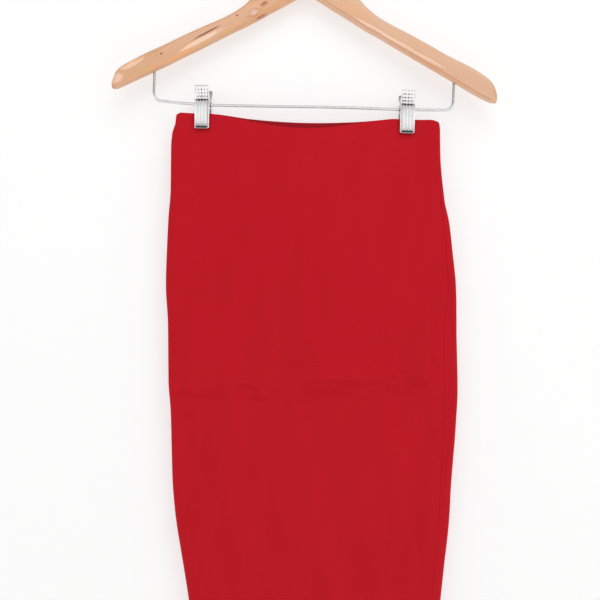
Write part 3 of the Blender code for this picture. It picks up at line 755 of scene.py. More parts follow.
def relief(across, up, side):
    """How deep the pressed pattern is sunk in the face, and how dark its hollows, grooves and studs' lower
    edges are painted as shade. The bare numbers are shares of a flute's width or of the way between two rows
    of studs."""
    column = across / FLUTE_PITCH
    off_middle = np.abs(column)
    inside = under(off_middle, FLUTES / 2, 0.08)
    between = np.abs(column - np.round(column))
    gap_number = np.clip(np.round(column) + FLUTES // 2, 0, FLUTES).astype(int)
    column_number = np.clip(np.floor(column) + FLUTES // 2, 0, FLUTES - 1).astype(int)
    # Studs: round bumps in rows, with painted shade in the diamonds between them and along their lower edges
    row = (up - STUD_ROWS_FROM) / STUD_PITCH
    stud_zone = over(row, -0.05, 0.1) * under(row, 3.95, 0.15)
    off_row = row - np.round(row)
    level = np.abs(off_row)
    stud = STUD_HEIGHT * (1 - over(np.minimum(between, level), 0, 0.3)) * stud_zone * inside
    diamonds = 1 - over(between + level, 0.2, 0.16)
    lines = 0.5 * (1 - over(between, 0.02, 0.05))
    hollow = np.maximum(diamonds, lines) * np.array(HOLLOW_SHADE[side])[gap_number]
    hollow = hollow * under(off_middle, FLUTES / 2 + 0.14, 0.08)
    arc = 0.14 * np.sqrt(np.clip(2 * between, 0, 1)) - 0.07
    edge = (1 - over(np.abs(off_row - arc), 0.05, 0.12)) * np.array(STUD_EDGE_SHADE[side])[column_number]
    dark_studs = np.maximum(hollow, edge * inside) * stud_zone
    # Flutes: round channels that end in an arch below and in teeth above, under a groove painted dark as
    # shade
    low, high = FLUTE_ENDS
    near_ridge = 1 - 2 * between
    teeth = FLUTE_TEETH * near_ridge**1.7
    arch = 0.3 * FLUTE_PITCH * (1 - np.sqrt(np.clip(1 - near_ridge**2, 0, 1)))
    in_flutes = over(up - low - arch, 0, FLUTE_SOFT) * under(up, high - teeth, FLUTE_SOFT) * inside
    flute = FLUTE_DEPTH * (1 - np.sqrt(np.clip(between * 2, 0, 1))) * in_flutes
    top = STUD_ROWS_FROM + MM * (1.1 * near_ridge**3 - 0.2)
    band = over(up - high + teeth, 0, BAND_SOFT) * under(up, top, BAND_SOFT) * inside
    rim = 1 - over(np.abs(off_middle - FLUTES / 2 - 0.02), 0.09, 0.06)
    rim = rim * over(up, low, 8 * MM) * under(up, STUD_ROWS_FROM + 3.9 * STUD_PITCH, 1 * MM)
    dark_rim = rim * np.where(across < 0, *RIM_SHADE[side])
    pressed = stud + flute + BAND_DEPTH * band + RIM_DEPTH * rim
    return pressed, np.clip(np.maximum(np.maximum(dark_studs, band), dark_rim), 0, 1)


def cheek_edge(up):
    """How far from the middle plane a front leg's side reaches in: deep round the bar, shallow elsewhere."""
    low, high = CHEEK_UP
    if not low < up < high:
        return LEG_SIDE_GAP
    drop = (up + CLIP_HANG) / CHEEK_PAST_BAR
    if abs(drop) < 1:
        return -CHEEK_PAST_BAR * math.sqrt(1 - drop**2)
    end = high if up > 0 else low
    start = math.copysign(CHEEK_PAST_BAR, up) - CLIP_HANG
    return LEG_SIDE_GAP * abs(up - start) / abs(end - start)


def leg(name, side, facing):
    """One leg: a channel-shaped pressing, swept down its face's line. A front one's sides are its cheeks."""
    corner = np.radians(np.linspace(0, 90, 5))
    rings, shade_by_point, inside = [], [], []
    for (out_to, up), (normal_out, normal_up) in zip(*leg_line()):
        half = float(leg_half(up))
        if up < LEG_FOOT + LEG_FOOT_ROUND:
            above = 1 - (up - LEG_FOOT) / LEG_FOOT_ROUND
            half -= LEG_FOOT_ROUND * (1 - math.sqrt(max(0.0, 1 - above**2)))
        depth = out_to - (cheek_edge(up) if facing < 0 else LEG_SIDE_GAP)
        if up > CHEEK_UP[1]:
            depth += (LEG_CORNER + LEG_SIDE_ABOVE - depth) * min(1.0, (up - CHEEK_UP[1]) / SIDE_FADE)
        depth = max(depth, LEG_CORNER + LEG_SIDE_LEAST)
        faces = []
        for within, radius in ((0, LEG_CORNER), (1, LEG_INNER_CORNER)):
            inset = within * SHEET
            wide = half - inset
            turned = [(wide, depth), (wide, (depth + radius + inset) / 2)]
            for a in corner:
                turned.append((wide - radius * (1 - math.cos(a)), inset + radius * (1 - math.sin(a))))
            sides, deep = np.array(turned).T
            face_x = np.linspace(wide - radius, radius - wide, LEG_FACE_POINTS)[1:-1]
            pressed, dark = relief(face_x, up, side)
            x = np.concatenate([sides, face_x, -sides[::-1]])
            d = np.concatenate([deep, inset + pressed * (1 - 0.5 * within), deep[::-1]])
            faces.append(np.stack([x, facing * (out_to - normal_out * d), up - normal_up * d], 1))
            # Painted shade from the pattern, on the pressing's outer face only.
            shade_by_point.append(np.concatenate([sides * 0, dark * (1 - within), sides * 0]))
            inside.append(np.full(len(x), float(within)))
        rings.append(np.concatenate([faces[0], faces[1][::-1]]))
    made = loft(name, rings, math.radians(50))
    for kind, values in (("PaintedShade", shade_by_point), ("Inside", inside)):
        layer = made.data.attributes.new(kind, "FLOAT", "POINT")
        layer.data.foreach_set("value", np.concatenate(values))
    return made


def cheek_plates(name, facing):
    """A back leg's drilled cheeks, which turn just inside the front leg's."""
    outer = CHEEK_HALF - SHEET - FIT_GAP
    low, high = CHEEK_UP
    nose = [(-facing * CHEEK_PAST_BAR * math.cos(a), CHEEK_PAST_BAR * math.sin(a) - CLIP_HANG)
            for a in np.radians(np.linspace(CHEEK_NOSE_TURN, -CHEEK_NOSE_TURN, 9))]
    above, below = [(facing * (leg_out(up) - CHEEK_INTO_FACE), up) for up in (high, low)]
    for side in (-1, 1):
        ends = (side * (outer - SHEET), side * outer)
        yield loft(f"{name}_cheek", [[(x, y, z) for y, z in (above, *nose, below)] for x in ends])


def jaw_slot(facing):
    """The slot by the jaw: straight below, and scalloped above where each flute ends."""
    low, high = SLOT_UP
    outline = [(-SLOT_HALF, low), (SLOT_HALF, low)]
    width = 2 * SLOT_HALF / FLUTES
    for lobe in range(FLUTES):
        for t in np.linspace(0, 1, 7)[(0 if lobe == 0 else 1):]:
            scallop = SLOT_LOBE * (abs(2 * t - 1) ** 1.5 - 0.6)
            outline.append((SLOT_HALF - (lobe + t) * width, high + scallop))
    return loft("jaw_slot", [[(x, facing * y, z) for x, z in outline] for y in SLOT_THROUGH])


pressed_steel = plated("pressed_steel", (0.575, 0.565, 0.57, 1), polish=0.17, wear=0.25, painted_shade=True)
for side in CLIPS:
    for which, facing in FACINGS.items():
        made = leg(f"clip_{side}_{which}_pressing", side, facing)
        if facing > 0:
            for plate in cheek_plates(made.name, facing):
                combine(made, plate, "UNION")
        ends = [(way * CLIP_HOLE_REACH, 0, -CLIP_HANG) for way in (-1, 1)]
        combine(made, rod("bar_way", CLIP_HOLE, *ends), "DIFFERENCE")
        combine(made, jaw_slot(facing), "DIFFERENCE")
        made.data.materials.clear()
        made.data.materials.append(pressed_steel)
        shade(made, math.radians(45))
        set_place(made, clip_frame(side))
        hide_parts(f"clip_{side}_{which}_leg")
        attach(made, "root")


# Clip springs. Each clip has a coil of plated spring wire that closes its jaws. It is wound round the bar and
# held between the legs' cheeks, where the legs hide most of it.
SPRING_COIL = 3.35 * MM
SPRING_WIRE = 0.62 * MM
SPRING_WIRE_STEP = 0.7 * MM
SPRING_WIRE_SIDES = 10
SPRING_HALF_LENGTH = 4.4 * MM
SPRING_TURNS = 6

angles = np.linspace(0, SPRING_TURNS * 2 * math.pi, SPRING_TURNS * 28 + 1)
along = np.linspace(-SPRING_HALF_LENGTH, SPRING_HALF_LENGTH, len(angles))
coil = np.stack([along, SPRING_COIL * np.sin(angles), SPRING_COIL * np.cos(angles) - CLIP_HANG], 1)
coil_sizes = {"Radius": SPRING_WIRE, "Step": SPRING_WIRE_STEP, "Sides": SPRING_WIRE_SIDES}
for side in CLIPS:
    made = line_object(f"clip_{side}_coil", [coil])
    grow(made, bent_wire, {**coil_sizes, "Finish": chrome_wire})
    set_place(made, clip_frame(side))
    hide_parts(f"clip_{side}_spring")
    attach(made, "root")


# Clip pads. Each jaw holds a moulded wedge of matt black rubber, pushed in between the leg's turned sides. It
# is ribbed across where it bears on the cloth, so that the waist can't slip out.
PAD_UP = (-28.2 * MM, -8.0 * MM)
PAD_HALF_WIDTH = 7.3 * MM
PAD_NEAR = 1.85 * MM
PAD_RIB = 1.7 * MM
PAD_RIB_DEPTH = 0.35 * MM
PAD_ROUND = 0.4 * MM
PAD_ROUND_STEPS = np.array((0, 0.1, 0.35, 0.65, 1))

rubber, tree, shader = material("moulded_rubber")
mottle = noise(object_place(tree), 900.0, 3.0)
feed(shader, {
    "Base Color": blend_colors(ramp(mottle, 0.35, 0.7), (0.009, 0.009, 0.01, 1), (0.02, 0.02, 0.021, 1)),
    "Roughness": ramp(mottle, 0.3, 0.7, 0.55, 0.75),
    "Normal": bump(mottle, 0.3, 0.03 * MM),
})


def pad_ring(x, facing):
    """A pad's outline from the side, drawn in a little at its two ends."""
    low, high = PAD_UP
    into_round = max(0.0, (abs(x) - PAD_HALF_WIDTH + PAD_ROUND) / PAD_ROUND)
    inset = PAD_ROUND * (1 - math.sqrt(max(0.0, 1 - into_round**2)))
    ups = np.linspace(low + inset, high - inset, 61)
    rib = PAD_RIB_DEPTH * (0.5 - 0.5 * np.cos(2 * math.pi * (ups - low) / PAD_RIB))
    near = [(x, facing * (PAD_NEAR + inset + depth), up) for up, depth in zip(ups, rib)]
    far = [(x, facing * (leg_out(up) - SHEET - FIT_GAP - inset), up) for up in (high - inset, low + inset)]
    return np.array(near + far)


for side in CLIPS:
    for which, facing in FACINGS.items():
        ends = PAD_HALF_WIDTH - PAD_ROUND * PAD_ROUND_STEPS
        made = loft(f"clip_{side}_{which}_rubber", [pad_ring(x, facing) for x in (*-ends, *ends[::-1])])
        made.data.materials.append(rubber)
        set_place(made, clip_frame(side))
        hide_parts(f"clip_{side}_{which}_pad")
        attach(made, "root")


# Skirt. A front and a back of fine red stretch knit are sewn at the sides into a close tube, its waist and
# hem turned in under two rows of stitches. It hangs flat from the clips, and the right seam has rolled to the
# front. Each panel is a closed shell: single cloth, and double where it is turned.
WALL = 1.4 * MM
SINGLE = 0.9 * MM
SIDE_FOLD = 4.8 * MM
WAIST_HEIGHT = -249.3 * MM
WAIST_SLOPE = -0.0297
WAIST_SAG = {"front": 15.0 * MM, "back": 5.5 * MM}
SAG_MIDDLE = -10 * MM
SAG_REACH = 108 * MM
SAG_FADE = 40 * MM
LEFT_ROLL = 1.0 * MM
GRIP_HALF_WIDTH = 10 * MM
GRIP_DROP = 19 * MM
GRIP_TO_SIDE = 36 * MM
GRIP_TO_MIDDLE = 48 * MM
GRIP_TO_BELOW = 105 * MM
SKIRT_LENGTH = 950 * MM
CASING = 32 * MM
HEM = 30 * MM
HEM_TOP = SKIRT_LENGTH - HEM
TURNING_STEP = 1.0 * MM  # over which the cloth goes from double to single
EDGE_ROUND = 0.45 * MM
SEAM_ROUND = 0.15 * MM
SEAM_GAP = 0.03 * MM
SECTION_COLUMNS = ("drop", "left", "right", "swell", "roll")
SECTIONS = (
    (0, -150.5, 142.5, 2.8, 2.0),
    (3, -154.3, 149.0, 2.8, 2.0),
    (12, -155.3, 150.0, 2.8, 2.1),
    (23, -158.7, 150.1, 2.9, 2.4),
    (38, -160.2, 150.3, 3.0, 3.0),
    (92, -160.9, 155.2, 3.4, 7.5),
    (120, -163.2, 161.0, 3.6, 10.0),
    (150, -164.7, 164.4, 3.9, 10.4),
    (200, -166.3, 168.8, 4.2, 13.0),
    (245, -163.9, 169.2, 4.5, 18.0),
    (312, -163.3, 170.3, 4.8, 19.0),
    (345, -160.8, 168.8, 4.7, 17.8),
    (425, -158.6, 162.6, 4.4, 15.5),
    (455, -156.3, 161.1, 4.3, 15.0),
    (480, -153.2, 158.9, 4.2, 14.6),
    (510, -148.2, 155.3, 4.1, 14.2),
    (560, -140.2, 149.9, 4.0, 13.6),
    (610, -133.4, 144.6, 4.0, 13.0),
    (670, -128.8, 140.0, 4.1, 12.4),
    (740, -127.2, 137.6, 4.3, 11.8),
    (850, -127.8, 137.8, 4.7, 10.8),
    (950, -128.6, 138.4, 5.3, 10.0),
)
section = {name: curve_through(SECTIONS, SECTION_COLUMNS, name) for name in SECTION_COLUMNS[1:]}

# Creases in mm, as x and z at both ends, depth and half width: soft troughs, or ridges where the depth is
# negative. The main ones run across both panels, and the folds are each panel's own.
CREASE_SHARP = 0.62
CREASE_SOFT = 1.5
CREASE_END = 16 * MM
FOLD_END = 8 * MM
FOLDS_FADE = 6 * MM  # beside a seam
MAIN_CREASES = (
    (-168, -564, -90, -568, 1.3, 7),
    (-96, -562, 26, -563, 1.1, 6.5),
    (-14, -556, 82, -556, 1.0, 6),
    (76, -558, 112, -560, 1.2, 9),
    (100, -554, 142, -554, 1.0, 6),
)
FOLDS = {
    "front": (
        (-162, -566.3, -98, -567.5, 1.3, 3.4),
        (-119, -556, -86, -556.5, 0.7, 3.4),
        (-84, -558, -59, -564.6, 2.3, 3.2),
        (-71, -571, -47, -575, 2.0, 3.0),
        (-12, -561.5, 29, -566, 1.5, 3.0),
        (-2, -555.5, 56, -557.2, 2.3, 3.2),
        (54, -556, 101, -551.5, 1.6, 3.0),
        (25, -566.5, 49, -568, 2.2, 3.0),
        (82, -555.5, 100, -566, 2.0, 3.2),
        (83, -566, 100, -556, 1.1, 3.0),
        (114, -554, 136, -557.4, 2.0, 3.2),
        (105, -568, 119, -566, 1.3, 3.0),
        (-151, -588.5, -133, -589, 0.8, 3.2),
        (-30, -540, 46, -541, -0.7, 9),
        (-82, -534, -52, -533, -0.5, 10),
        (44, -540, 76, -541, -0.6, 8),
        (-24, -582, 40, -583, -0.7, 6.5),
        (47, -594, 66, -596, -0.5, 12),
        (141, -522, 144, -540, 1.6, 2.2),
        (139, -500, 142, -516, 0.7, 2.4),
        (138, -600, 142, -622, 1.5, 2.2),
        (143, -560, 146, -576, 0.8, 2.4),
    ),
    "back": (
        (-150, -552, -60, -560, 1.0, 8),
        (-74, -566, 30, -563, 0.8, 7),
        (10, -545, 96, -549, 0.9, 8),
        (60, -571, 130, -566, 0.7, 6),
        (-110, -536, -20, -540, -0.5, 10),
        (0, -583, 80, -585, -0.4, 9),
    ),
}


def openness(clip, x, drop):
    """How far the cloth has opened again away from a clip: 0 in the jaws and 1 where nothing presses it."""
    outwards = np.where((x - clip["x"]) * clip["x"] > 0, GRIP_TO_SIDE, GRIP_TO_MIDDLE)
    beside = np.maximum(0, np.abs(x - clip["x"]) - GRIP_HALF_WIDTH) / outwards
    below = np.maximum(0, drop - GRIP_DROP) / GRIP_TO_BELOW
    return ease(np.hypot(beside, below))


def half_depth(x, drop, across):
    """Half the tube's depth, to the middle of the cloth."""
    pressed = (FIT_GAP + WALL) / 2
    free = SIDE_FOLD + section["swell"](drop) * (1 - across**2) ** 1.5
    opened = openness(CLIPS["left"], x, drop) * openness(CLIPS["right"], x, drop)
    return pressed + (free - pressed) * opened


def middle_plane(x, drop):
    """y of the plane between front and back, which follows a turned clip."""
    plane = BODY_PLANE
    for clip in CLIPS.values():
        plane = plane + (x - clip["x"]) * math.tan(clip["turn"]) * (1 - openness(clip, x, drop)) ** 4
    return plane


def height(x, drop, side):
    """z of a row: the edge sags between the clips, and the rows below follow it less and less."""
    along = np.clip((x - SAG_MIDDLE) / SAG_REACH, -1, 1)
    sag = WAIST_SAG[side] * (1 - along**2) ** 1.5 * math.exp(-drop / SAG_FADE)
    return WAIST_HEIGHT + WAIST_SLOPE * x - sag - drop


def pressed_in(x, z, creases, ends_over):
    """How deep the creases press the cloth in. Each drops sharply at its upper side and eases out below."""
    depth = 0 * x
    for crease in creases:
        x_from, z_from, x_to, z_to, deep, half_width = (value * MM for value in crease)
        run = math.hypot(x_to - x_from, z_to - z_from)
        ahead_x, ahead_z = (x_to - x_from) / run, (z_to - z_from) / run
        along = (x - x_from) * ahead_x + (z - z_from) * ahead_z
        above = (z - z_from) * ahead_x - (x - x_from) * ahead_z
        ends = min(ends_over, run * 0.6)
        trough = np.exp(-((above / (half_width * np.where(above > 0, CREASE_SHARP, CREASE_SOFT))) ** 2))
        depth += deep * trough * ease(along / ends + 0.5) * ease((run - along) / ends + 0.5)
    return depth


def ring(drop):
    """The middle of the cloth all round at one row: points, outward directions, and the way along them."""
    left, right = section["left"](drop), section["right"](drop)
    turn = np.linspace(0, math.pi / 2, 13)
    flat = np.linspace(left + SIDE_FOLD, right - SIDE_FOLD, 241)[1:-1]
    fold = SIDE_FOLD * (1 - np.cos(turn))
    x = np.concatenate([left + fold, flat, (right - fold)[::-1]])
    round_off = np.concatenate([np.sin(turn), np.ones_like(flat), np.sin(turn)[::-1]])
    across = np.clip((2 * x - left - right) / (right - left), -1, 1)
    depth = half_depth(x, drop, across) * round_off
    plane = middle_plane(x, drop)
    walls = []
    for side, facing in FACINGS.items():
        z = height(x, drop, side)
        creased = pressed_in(x, z, MAIN_CREASES, CREASE_END) * round_off
        walls.append(np.stack([x, plane + facing * (depth - creased), z], 1))
    loop = np.concatenate([walls[0], walls[1][::-1][1:-1]])
    steps = np.linalg.norm((np.roll(loop, -1, 0) - loop)[:, :2], axis=1)
    along = np.concatenate([[0], np.cumsum(steps)])
    ahead = np.roll(loop, -1, 0) - np.roll(loop, 1, 0)
    outward = np.stack([ahead[:, 1], -ahead[:, 0]], 1)
    outward /= np.linalg.norm(outward, axis=1, keepdims=True)
    return loop, outward, along, along[len(x) - 1]


def ring_points(drop, wanted):
    """Points and outward directions at distances round one row."""
    loop, outward, along, _ = ring(drop)
    wanted = np.mod(wanted, along[-1])
    closed, closed_out = np.vstack([loop, loop[:1]]), np.vstack([outward, outward[:1]])
    points = np.stack([np.interp(wanted, along, closed[:, i]) for i in range(3)], 1)
    outs = np.stack([np.interp(wanted, along, closed_out[:, i]) for i in range(2)] + [wanted * 0], 1)
    return points, outs / np.linalg.norm(outs, axis=1, keepdims=True)


def panel_ends(drop, side):
    """Where a panel starts and ends round a row. The sewn edges all but touch."""
    _, _, along, front_length = ring(drop)
    roll = section["roll"](drop)
    if side == "front":
        return LEFT_ROLL + SEAM_GAP / 2, front_length - roll - SEAM_GAP / 2
    return front_length - roll + SEAM_GAP / 2, along[-1] + LEFT_ROLL - SEAM_GAP / 2


# The rows of a panel's mesh, as drops from the waist: finest at the edges, at stitched lines and creases.
NEAR_EDGE = np.array((0, 0.05, 0.16, 0.34, 0.6, 1.2, 2.2, 3.6, 5.5)) * MM
PANEL_COLUMNS = 156
DROPS = np.concatenate([
    NEAR_EDGE[:-1],
    np.arange(3.6, CASING / MM - 1.2, 3.4) * MM,
    CASING + np.arange(-1.2, 7.2, 0.5) * MM,
    np.arange(CASING / MM + 9, 250, 5.2) * MM,
    np.arange(250, 352, 1.25) * MM,
    np.arange(352, HEM_TOP / MM - 6.5, 6.8) * MM,
    HEM_TOP + np.arange(-6.0, 3.0, 0.5) * MM,
    np.arange(HEM_TOP / MM + 5, SKIRT_LENGTH / MM - 3.6, 3.4) * MM,
    SKIRT_LENGTH - NEAR_EDGE[:-1][::-1],
])
STITCH_ROWS_APART = 4.6 * MM
STITCH_DROPS = (CASING, CASING + STITCH_ROWS_APART, HEM_TOP, HEM_TOP - STITCH_ROWS_APART)
STITCH_SINK = 0.06 * MM
STITCH_SINK_HALF = 0.7 * MM


def columns_between(start, end):
    """Distances round a row, fine at both edges and even between."""
    even = np.linspace(start + NEAR_EDGE[-1], end - NEAR_EDGE[-1], PANEL_COLUMNS - 2 * len(NEAR_EDGE))[1:-1]
    return np.concatenate([start + NEAR_EDGE, even, end - NEAR_EDGE[::-1]])


def sunk_by_stitches(drop):
    return sum(STITCH_SINK * math.exp(-(((drop - at) / STITCH_SINK_HALF) ** 2)) for at in STITCH_DROPS)


def panel(name, side):
    """One panel as a closed shell, with its own flat map in metres: across from its middle, and down."""
    outer, inner, flat = [], [], []
    for drop in DROPS:
        start, end = panel_ends(drop, side)
        wanted = columns_between(start, end)
        points, outs = ring_points(drop, wanted)
        to_seam = np.minimum(wanted - start, end - wanted)
        edge = np.minimum(to_seam / SEAM_ROUND, min(drop, SKIRT_LENGTH - drop) / EDGE_ROUND)
        rounded = np.sqrt(np.clip(1 - (1 - np.clip(edge, 0, 1)) ** 2, 0, 1))
        turned_in = 1 - ease((drop - CASING) / TURNING_STEP) + ease((drop - HEM_TOP) / TURNING_STEP)
        folded = pressed_in(points[:, 0], points[:, 2], FOLDS[side], FOLD_END) * ease(to_seam / FOLDS_FADE)
        points = points - outs * folded[:, None]
        out_by = WALL / 2 - sunk_by_stitches(drop)
        in_by = WALL / 2 * turned_in + (SINGLE - WALL / 2) * (1 - turned_in)
        outer.append(points + outs * (out_by * rounded)[:, None])
        inner.append(points - outs * (in_by * rounded)[:, None])
        flat.append(np.stack([wanted - (start + end) / 2, np.full_like(wanted, -drop)], 1))
    return shell(name, np.array(outer), np.array(inner), np.array(flat))


def shell(name, outer, inner, flat):
    """A closed shell of an outer and an inner grid that share their border. Its inner side is material 1."""
    rows, columns = outer.shape[:2]
    outer_at = np.arange(rows * columns).reshape(rows, columns)
    inner_at = outer_at.copy()
    within = (rows - 2, columns - 2)
    inner_at[1:-1, 1:-1] = rows * columns + np.arange(math.prod(within)).reshape(within)
    points = np.concatenate([outer.reshape(-1, 3), inner[1:-1, 1:-1].reshape(-1, 3)])
    places = np.concatenate([flat.reshape(-1, 2), flat[1:-1, 1:-1].reshape(-1, 2)])

    def quads(at, turned):
        corners = [at[:-1, :-1], at[1:, :-1], at[1:, 1:], at[:-1, 1:]]
        return np.stack(corners[::-1] if turned else corners, -1).reshape(-1, 4)

    faces = np.concatenate([quads(outer_at, False), quads(inner_at, True)])
    made = mesh_object(name, points, [], faces.tolist())
    made.data.validate()
    shade(made, math.radians(80))
    inside = np.arange(len(faces)) >= len(faces) // 2
    made.data.polygons.foreach_set("material_index", inside.astype(np.int32))
    layer = made.data.uv_layers.new(name="Cloth")
    corners = np.empty(len(made.data.loops), dtype=np.int32)
    made.data.loops.foreach_get("vertex_index", corners)
    layer.data.foreach_set("uv", places[corners].ravel())
    return made


# The panels' cloth, a fine stretch jersey in plain red: columns of small V-shaped loops, with a slow
# unevenness in the dye and in the tension, and a reverse, painted darker as shade, that shows only inside the
# tube.
WALES = 1500.0  # a metre
COURSES = 2000.0
knit_inputs = {"Flat": "Vector", "Light": "Color", "Deep": "Color"}
knit, given, out = group("Shader", "knit", knit_inputs, {"Color": "Color", "Height": "Float"})
split = node(knit, "ShaderNodeSeparateXYZ", {"Vector": given["Flat"]})
wale = maths("MULTIPLY", split["X"], WALES)
beside = maths("ABSOLUTE", maths("SUBTRACT", maths("FRACT", wale), 0.5))
course = maths("ADD", maths("MULTIPLY", split["Y"], COURSES), beside)
loops = maths("SINE", maths("MULTIPLY", course, 2 * math.pi))
columns = maths("SUBTRACT", 1.0, maths("POWER", maths("MULTIPLY", beside, 2.0), 3.0))
loop_height = maths("ADD", maths("MULTIPLY", loops, 0.35), columns)
slow = stretched_noise(given["Flat"], (34, 9, 1), 3.0)
fine = noise(given["Flat"], 700.0, 2.0)
uneven = maths("ADD", ramp(slow, 0.3, 0.7, 0.0, 0.6), maths("MULTIPLY", fine, 0.4))
feed(out, {
    "Color": blend_colors(uneven, given["Deep"], given["Light"]),
    "Height": maths("ADD", loop_height, maths("MULTIPLY", fine, 0.5)),
})


def jersey(name, light, deep, sheen):
    """Matt stretch jersey in two near tones of one colour."""
    made, tree, shader = material(name)
    flat_place = node(tree, "ShaderNodeUVMap", uv_map="Cloth")[0]
    inputs = {"Flat": flat_place, "Light": light, "Deep": deep}
    cloth = node(tree, "ShaderNodeGroup", inputs, node_tree=knit)
    feed(shader, {
        "Base Color": cloth["Color"],
        "Normal": bump(cloth["Height"], 0.35, 0.08 * MM),
        "Roughness": 0.85,
        "Specular IOR Level": 0.12,
        "Sheen Weight": sheen,
        "Sheen Roughness": 0.4,
        "Sheen Tint": (1.0, 0.25, 0.25, 1),
    })
    return made


RED, DEEP_RED = (0.465, 0.006, 0.014, 1), (0.43, 0.005, 0.012, 1)
red_knit = jersey("red_jersey", RED, DEEP_RED, sheen=0.12)
# The reverse is the same knit painted darker: painted shade for the inside of the tube.
red_shaded_inside = jersey("red_jersey_shaded_inside", (0.36, 0.009, 0.016, 1), (0.33, 0.008, 0.014, 1), sheen=0.05)
panels = {}
for side in FOLDS:
    made = panel(f"skirt_{side}", side)
    made.data.materials.append(red_knit)
    made.data.materials.append(red_shaded_inside)
    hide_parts(f"{side}_panel")
    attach(made, "root")
    panels[side] = made


# Stitches. Two rows of machine stitches in thread of the cloth's red hold the turned waist, and two the hem.
# They run from seam to seam on the outside and sink a little into the cloth.
STITCH_PITCH = 2.6 * MM
STITCH_LENGTH = 2.0 * MM
STITCH_RADIUS = 0.13 * MM
STITCHES_FROM_SEAM = 1.2 * MM
STITCH_LINE_POINTS = 160

thread, tree, shader = material("red_thread")
twist = noise(object_place(tree), 4000.0, 1.0)
feed(shader, {
    "Base Color": blend_colors(twist, DEEP_RED, (0.49, 0.007, 0.016, 1)),
    "Roughness": 0.6,
    "Specular IOR Level": 0.2,
})

stitch_row, given, out = group("Geometry", "stitch_row", {
    "Geometry": "Geometry", "Pitch": "Float", "Length": "Float", "Radius": "Float", "Finish": "Material",
}, SHAPE_OUT)
path = even_path(stitch_row, given["Geometry"], given["Pitch"])
bead = node(stitch_row, "GeometryNodeMeshUVSphere", {"Segments": 6, "Rings": 5, "Radius": 1.0})[0]
bead_size = {"X": given["Radius"], "Y": given["Radius"], "Z": maths("MULTIPLY", given["Length"], 0.5)}
scale = node(stitch_row, "ShaderNodeCombineXYZ", bead_size)[0]
bead = node(stitch_row, "GeometryNodeTransform", {"Geometry": bead, "Scale": scale})[0]
tangent = node(stitch_row, "GeometryNodeInputTangent")[0]
turned = node(stitch_row, "FunctionNodeAlignRotationToVector", {"Vector": tangent}, axis="Z")[0]
beads = {"Points": path, "Instance": bead, "Rotation": turned}
put_out(stitch_row, node(stitch_row, "GeometryNodeInstanceOnPoints", beads)[0], given["Finish"], out)


def stitch_lines(drops):
    """The rows' lines on the outside of both panels, from seam to seam."""
    for drop in drops:
        for side in panels:
            start, end = panel_ends(drop, side)
            wanted = np.linspace(start + STITCHES_FROM_SEAM, end - STITCHES_FROM_SEAM, STITCH_LINE_POINTS)
            points, outs = ring_points(drop, wanted)
            yield points + outs * (WALL / 2 - STITCH_SINK + 0.3 * STITCH_RADIUS)


stitch_sizes = {"Pitch": STITCH_PITCH, "Length": STITCH_LENGTH, "Radius": STITCH_RADIUS}
for name, drops in (("waist_stitches", STITCH_DROPS[:2]), ("hem_stitches", STITCH_DROPS[2:])):
    made = line_object(name, stitch_lines(drops))
    grow(made, stitch_row, {**stitch_sizes, "Finish": thread})
    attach(made, "root")

# Each panel's width round each of its rows.
for side, made in panels.items():
    widths = np.array([np.ptp(panel_ends(drop, side)) for drop in DROPS])


# Studio. A white wall stands close behind the hanger, and a pale floor lies below the hem. The wall lets
# light from behind through, so that the skirt's back is lit too.
WALL_BEHIND = 15 * MM
WALL_TOP = 1.6
FLOOR_LEVEL = -1.33
STAGE_HALF = 3.0
WHITE = (1, 1, 1, 1)


def stage_plane(name, corners, color, glow, mirrored, two_faced):
    """A wall or floor with a glow of its own, and another glow in what the plating mirrors. One that isn't
    two-faced is clear from behind and casts no shadow."""
    made = mesh_object(name, corners, [], [(0, 1, 2, 3)])
    finish, tree, shader = material(name)
    mottle = noise(object_place(tree), 3.0, 2.0)
    light_path = node(tree, "ShaderNodeLightPath")
    feed(shader, {
        "Base Color": blend_colors(mottle, color, tuple(min(1, channel * 1.01) for channel in color)),
        "Roughness": 0.9,
        "Specular IOR Level": 0.1,
        "Emission Color": WHITE,
        "Emission Strength": ramp(light_path["Is Glossy Ray"], 0.0, 1.0, glow, mirrored),
    })
    if not two_faced:
        clear = node(tree, "ShaderNodeBsdfTransparent")[0]
        behind = node(tree, "ShaderNodeNewGeometry")["Backfacing"]
        passes = maths("MAXIMUM", behind, light_path["Is Shadow Ray"])
        own = tree.nodes["Principled BSDF"].outputs[0]
        mixed = node(tree, "ShaderNodeMixShader", {0: passes, 1: own, 2: clear})[0]
        feed(tree.nodes["Material Output"].inputs, {"Surface": mixed})
    made.data.materials.append(finish)


around = ((-STAGE_HALF, -1), (STAGE_HALF, -1), (STAGE_HALF, 1), (-STAGE_HALF, 1))
wall_corners = [(x, WALL_BEHIND, FLOOR_LEVEL if way < 0 else WALL_TOP) for x, way in around]
floor_corners = [(x, way * STAGE_HALF, FLOOR_LEVEL) for x, way in around]
stage_plane("studio_wall", wall_corners, (0.42, 0.42, 0.42, 1), glow=0.522, mirrored=0.5, two_faced=False)
stage_plane("studio_floor", floor_corners, (0.8, 0.8, 0.79, 1), glow=0.4, mirrored=1.0, two_faced=True)


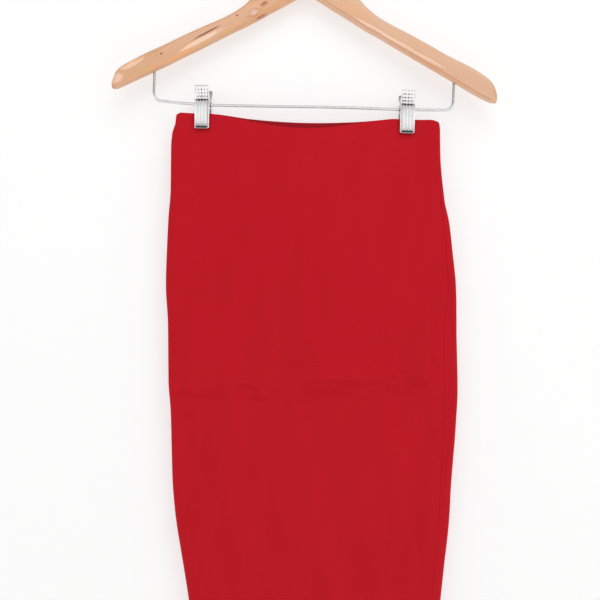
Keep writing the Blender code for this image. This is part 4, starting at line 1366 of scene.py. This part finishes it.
def softbox(name, place, aim, width, tall, power):
    lamp = bpy.data.lights.new(name, "AREA")
    lamp.shape = "RECTANGLE"
    lamp.size = width
    lamp.size_y = tall
    lamp.energy = power
    made = bpy.data.objects.new(name, lamp)
    made.location = place
    made.rotation_euler = (Vector(aim) - Vector(place)).to_track_quat("-Z", "Y").to_euler()
    made.visible_camera = False
    bpy.context.scene.collection.objects.link(made)


softbox("overhead_light", (0.35, -1.5, 1.15), (0, 0, -0.55), width=2.4, tall=1.5, power=25)
softbox("back_light", (0.3, 2.2, 0.6), (0, 0, -0.6), width=2.2, tall=1.8, power=30)

# The room: pale all round to light the cloth, and for what the plating mirrors, bright below and round the
# horizon, brighter at the sides, and dark overhead. Each level is a direction's height, from -1 straight down
# to 1 straight up, and a brightness.
ROOM_LIGHT = ((-1.0, 0.62), (-0.08, 0.7), (0.04, 0.98), (0.2, 0.86), (0.4, 0.2), (0.8, 0.16), (1.0, 0.3))
ROOM_MIRRORED = ((-1.0, 0.75), (-0.5, 0.98), (0.0, 1.0), (0.17, 1.0), (0.27, 0.1), (0.92, 0.08), (1.0, 0.2))
ROOM_STRENGTH = 1.38
world = bpy.data.worlds.new("studio")
world.use_nodes = True
sky = world.node_tree
direction = node(sky, "ShaderNodeSeparateXYZ", {"Vector": node(sky, "ShaderNodeTexCoord")["Generated"]})


def room_tones(levels):
    """The room's brightness by height, as a row of colour stops."""
    tones = sky.nodes.new("ShaderNodeValToRGB")
    feed(tones.inputs, {"Fac": maths("ADD", maths("MULTIPLY", direction["Z"], 0.5), 0.5)})
    stops = tones.color_ramp.elements
    for _ in levels[1:-1]:
        stops.new(0.5)
    for stop, (place, level) in zip(stops, levels):
        stop.position = (place + 1) / 2
        stop.color = (level, level, level, 1)
    return tones.outputs["Color"]


gain = ramp(maths("ABSOLUTE", direction["X"]), 0.45, 0.8, 1.0, 1.7)
seen = {0: room_tones(ROOM_MIRRORED), "Scale": gain}
bright_sides = node(sky, "ShaderNodeVectorMath", seen, operation="SCALE")[0]
is_mirrored = node(sky, "ShaderNodeLightPath")["Is Glossy Ray"]
room = blend_colors(is_mirrored, room_tones(ROOM_LIGHT), bright_sides)
feed(sky.nodes["Background"].inputs, {"Color": room, "Strength": ROOM_STRENGTH})
bpy.context.scene.world = world
bpy.context.scene.view_settings.view_transform = "Standard"
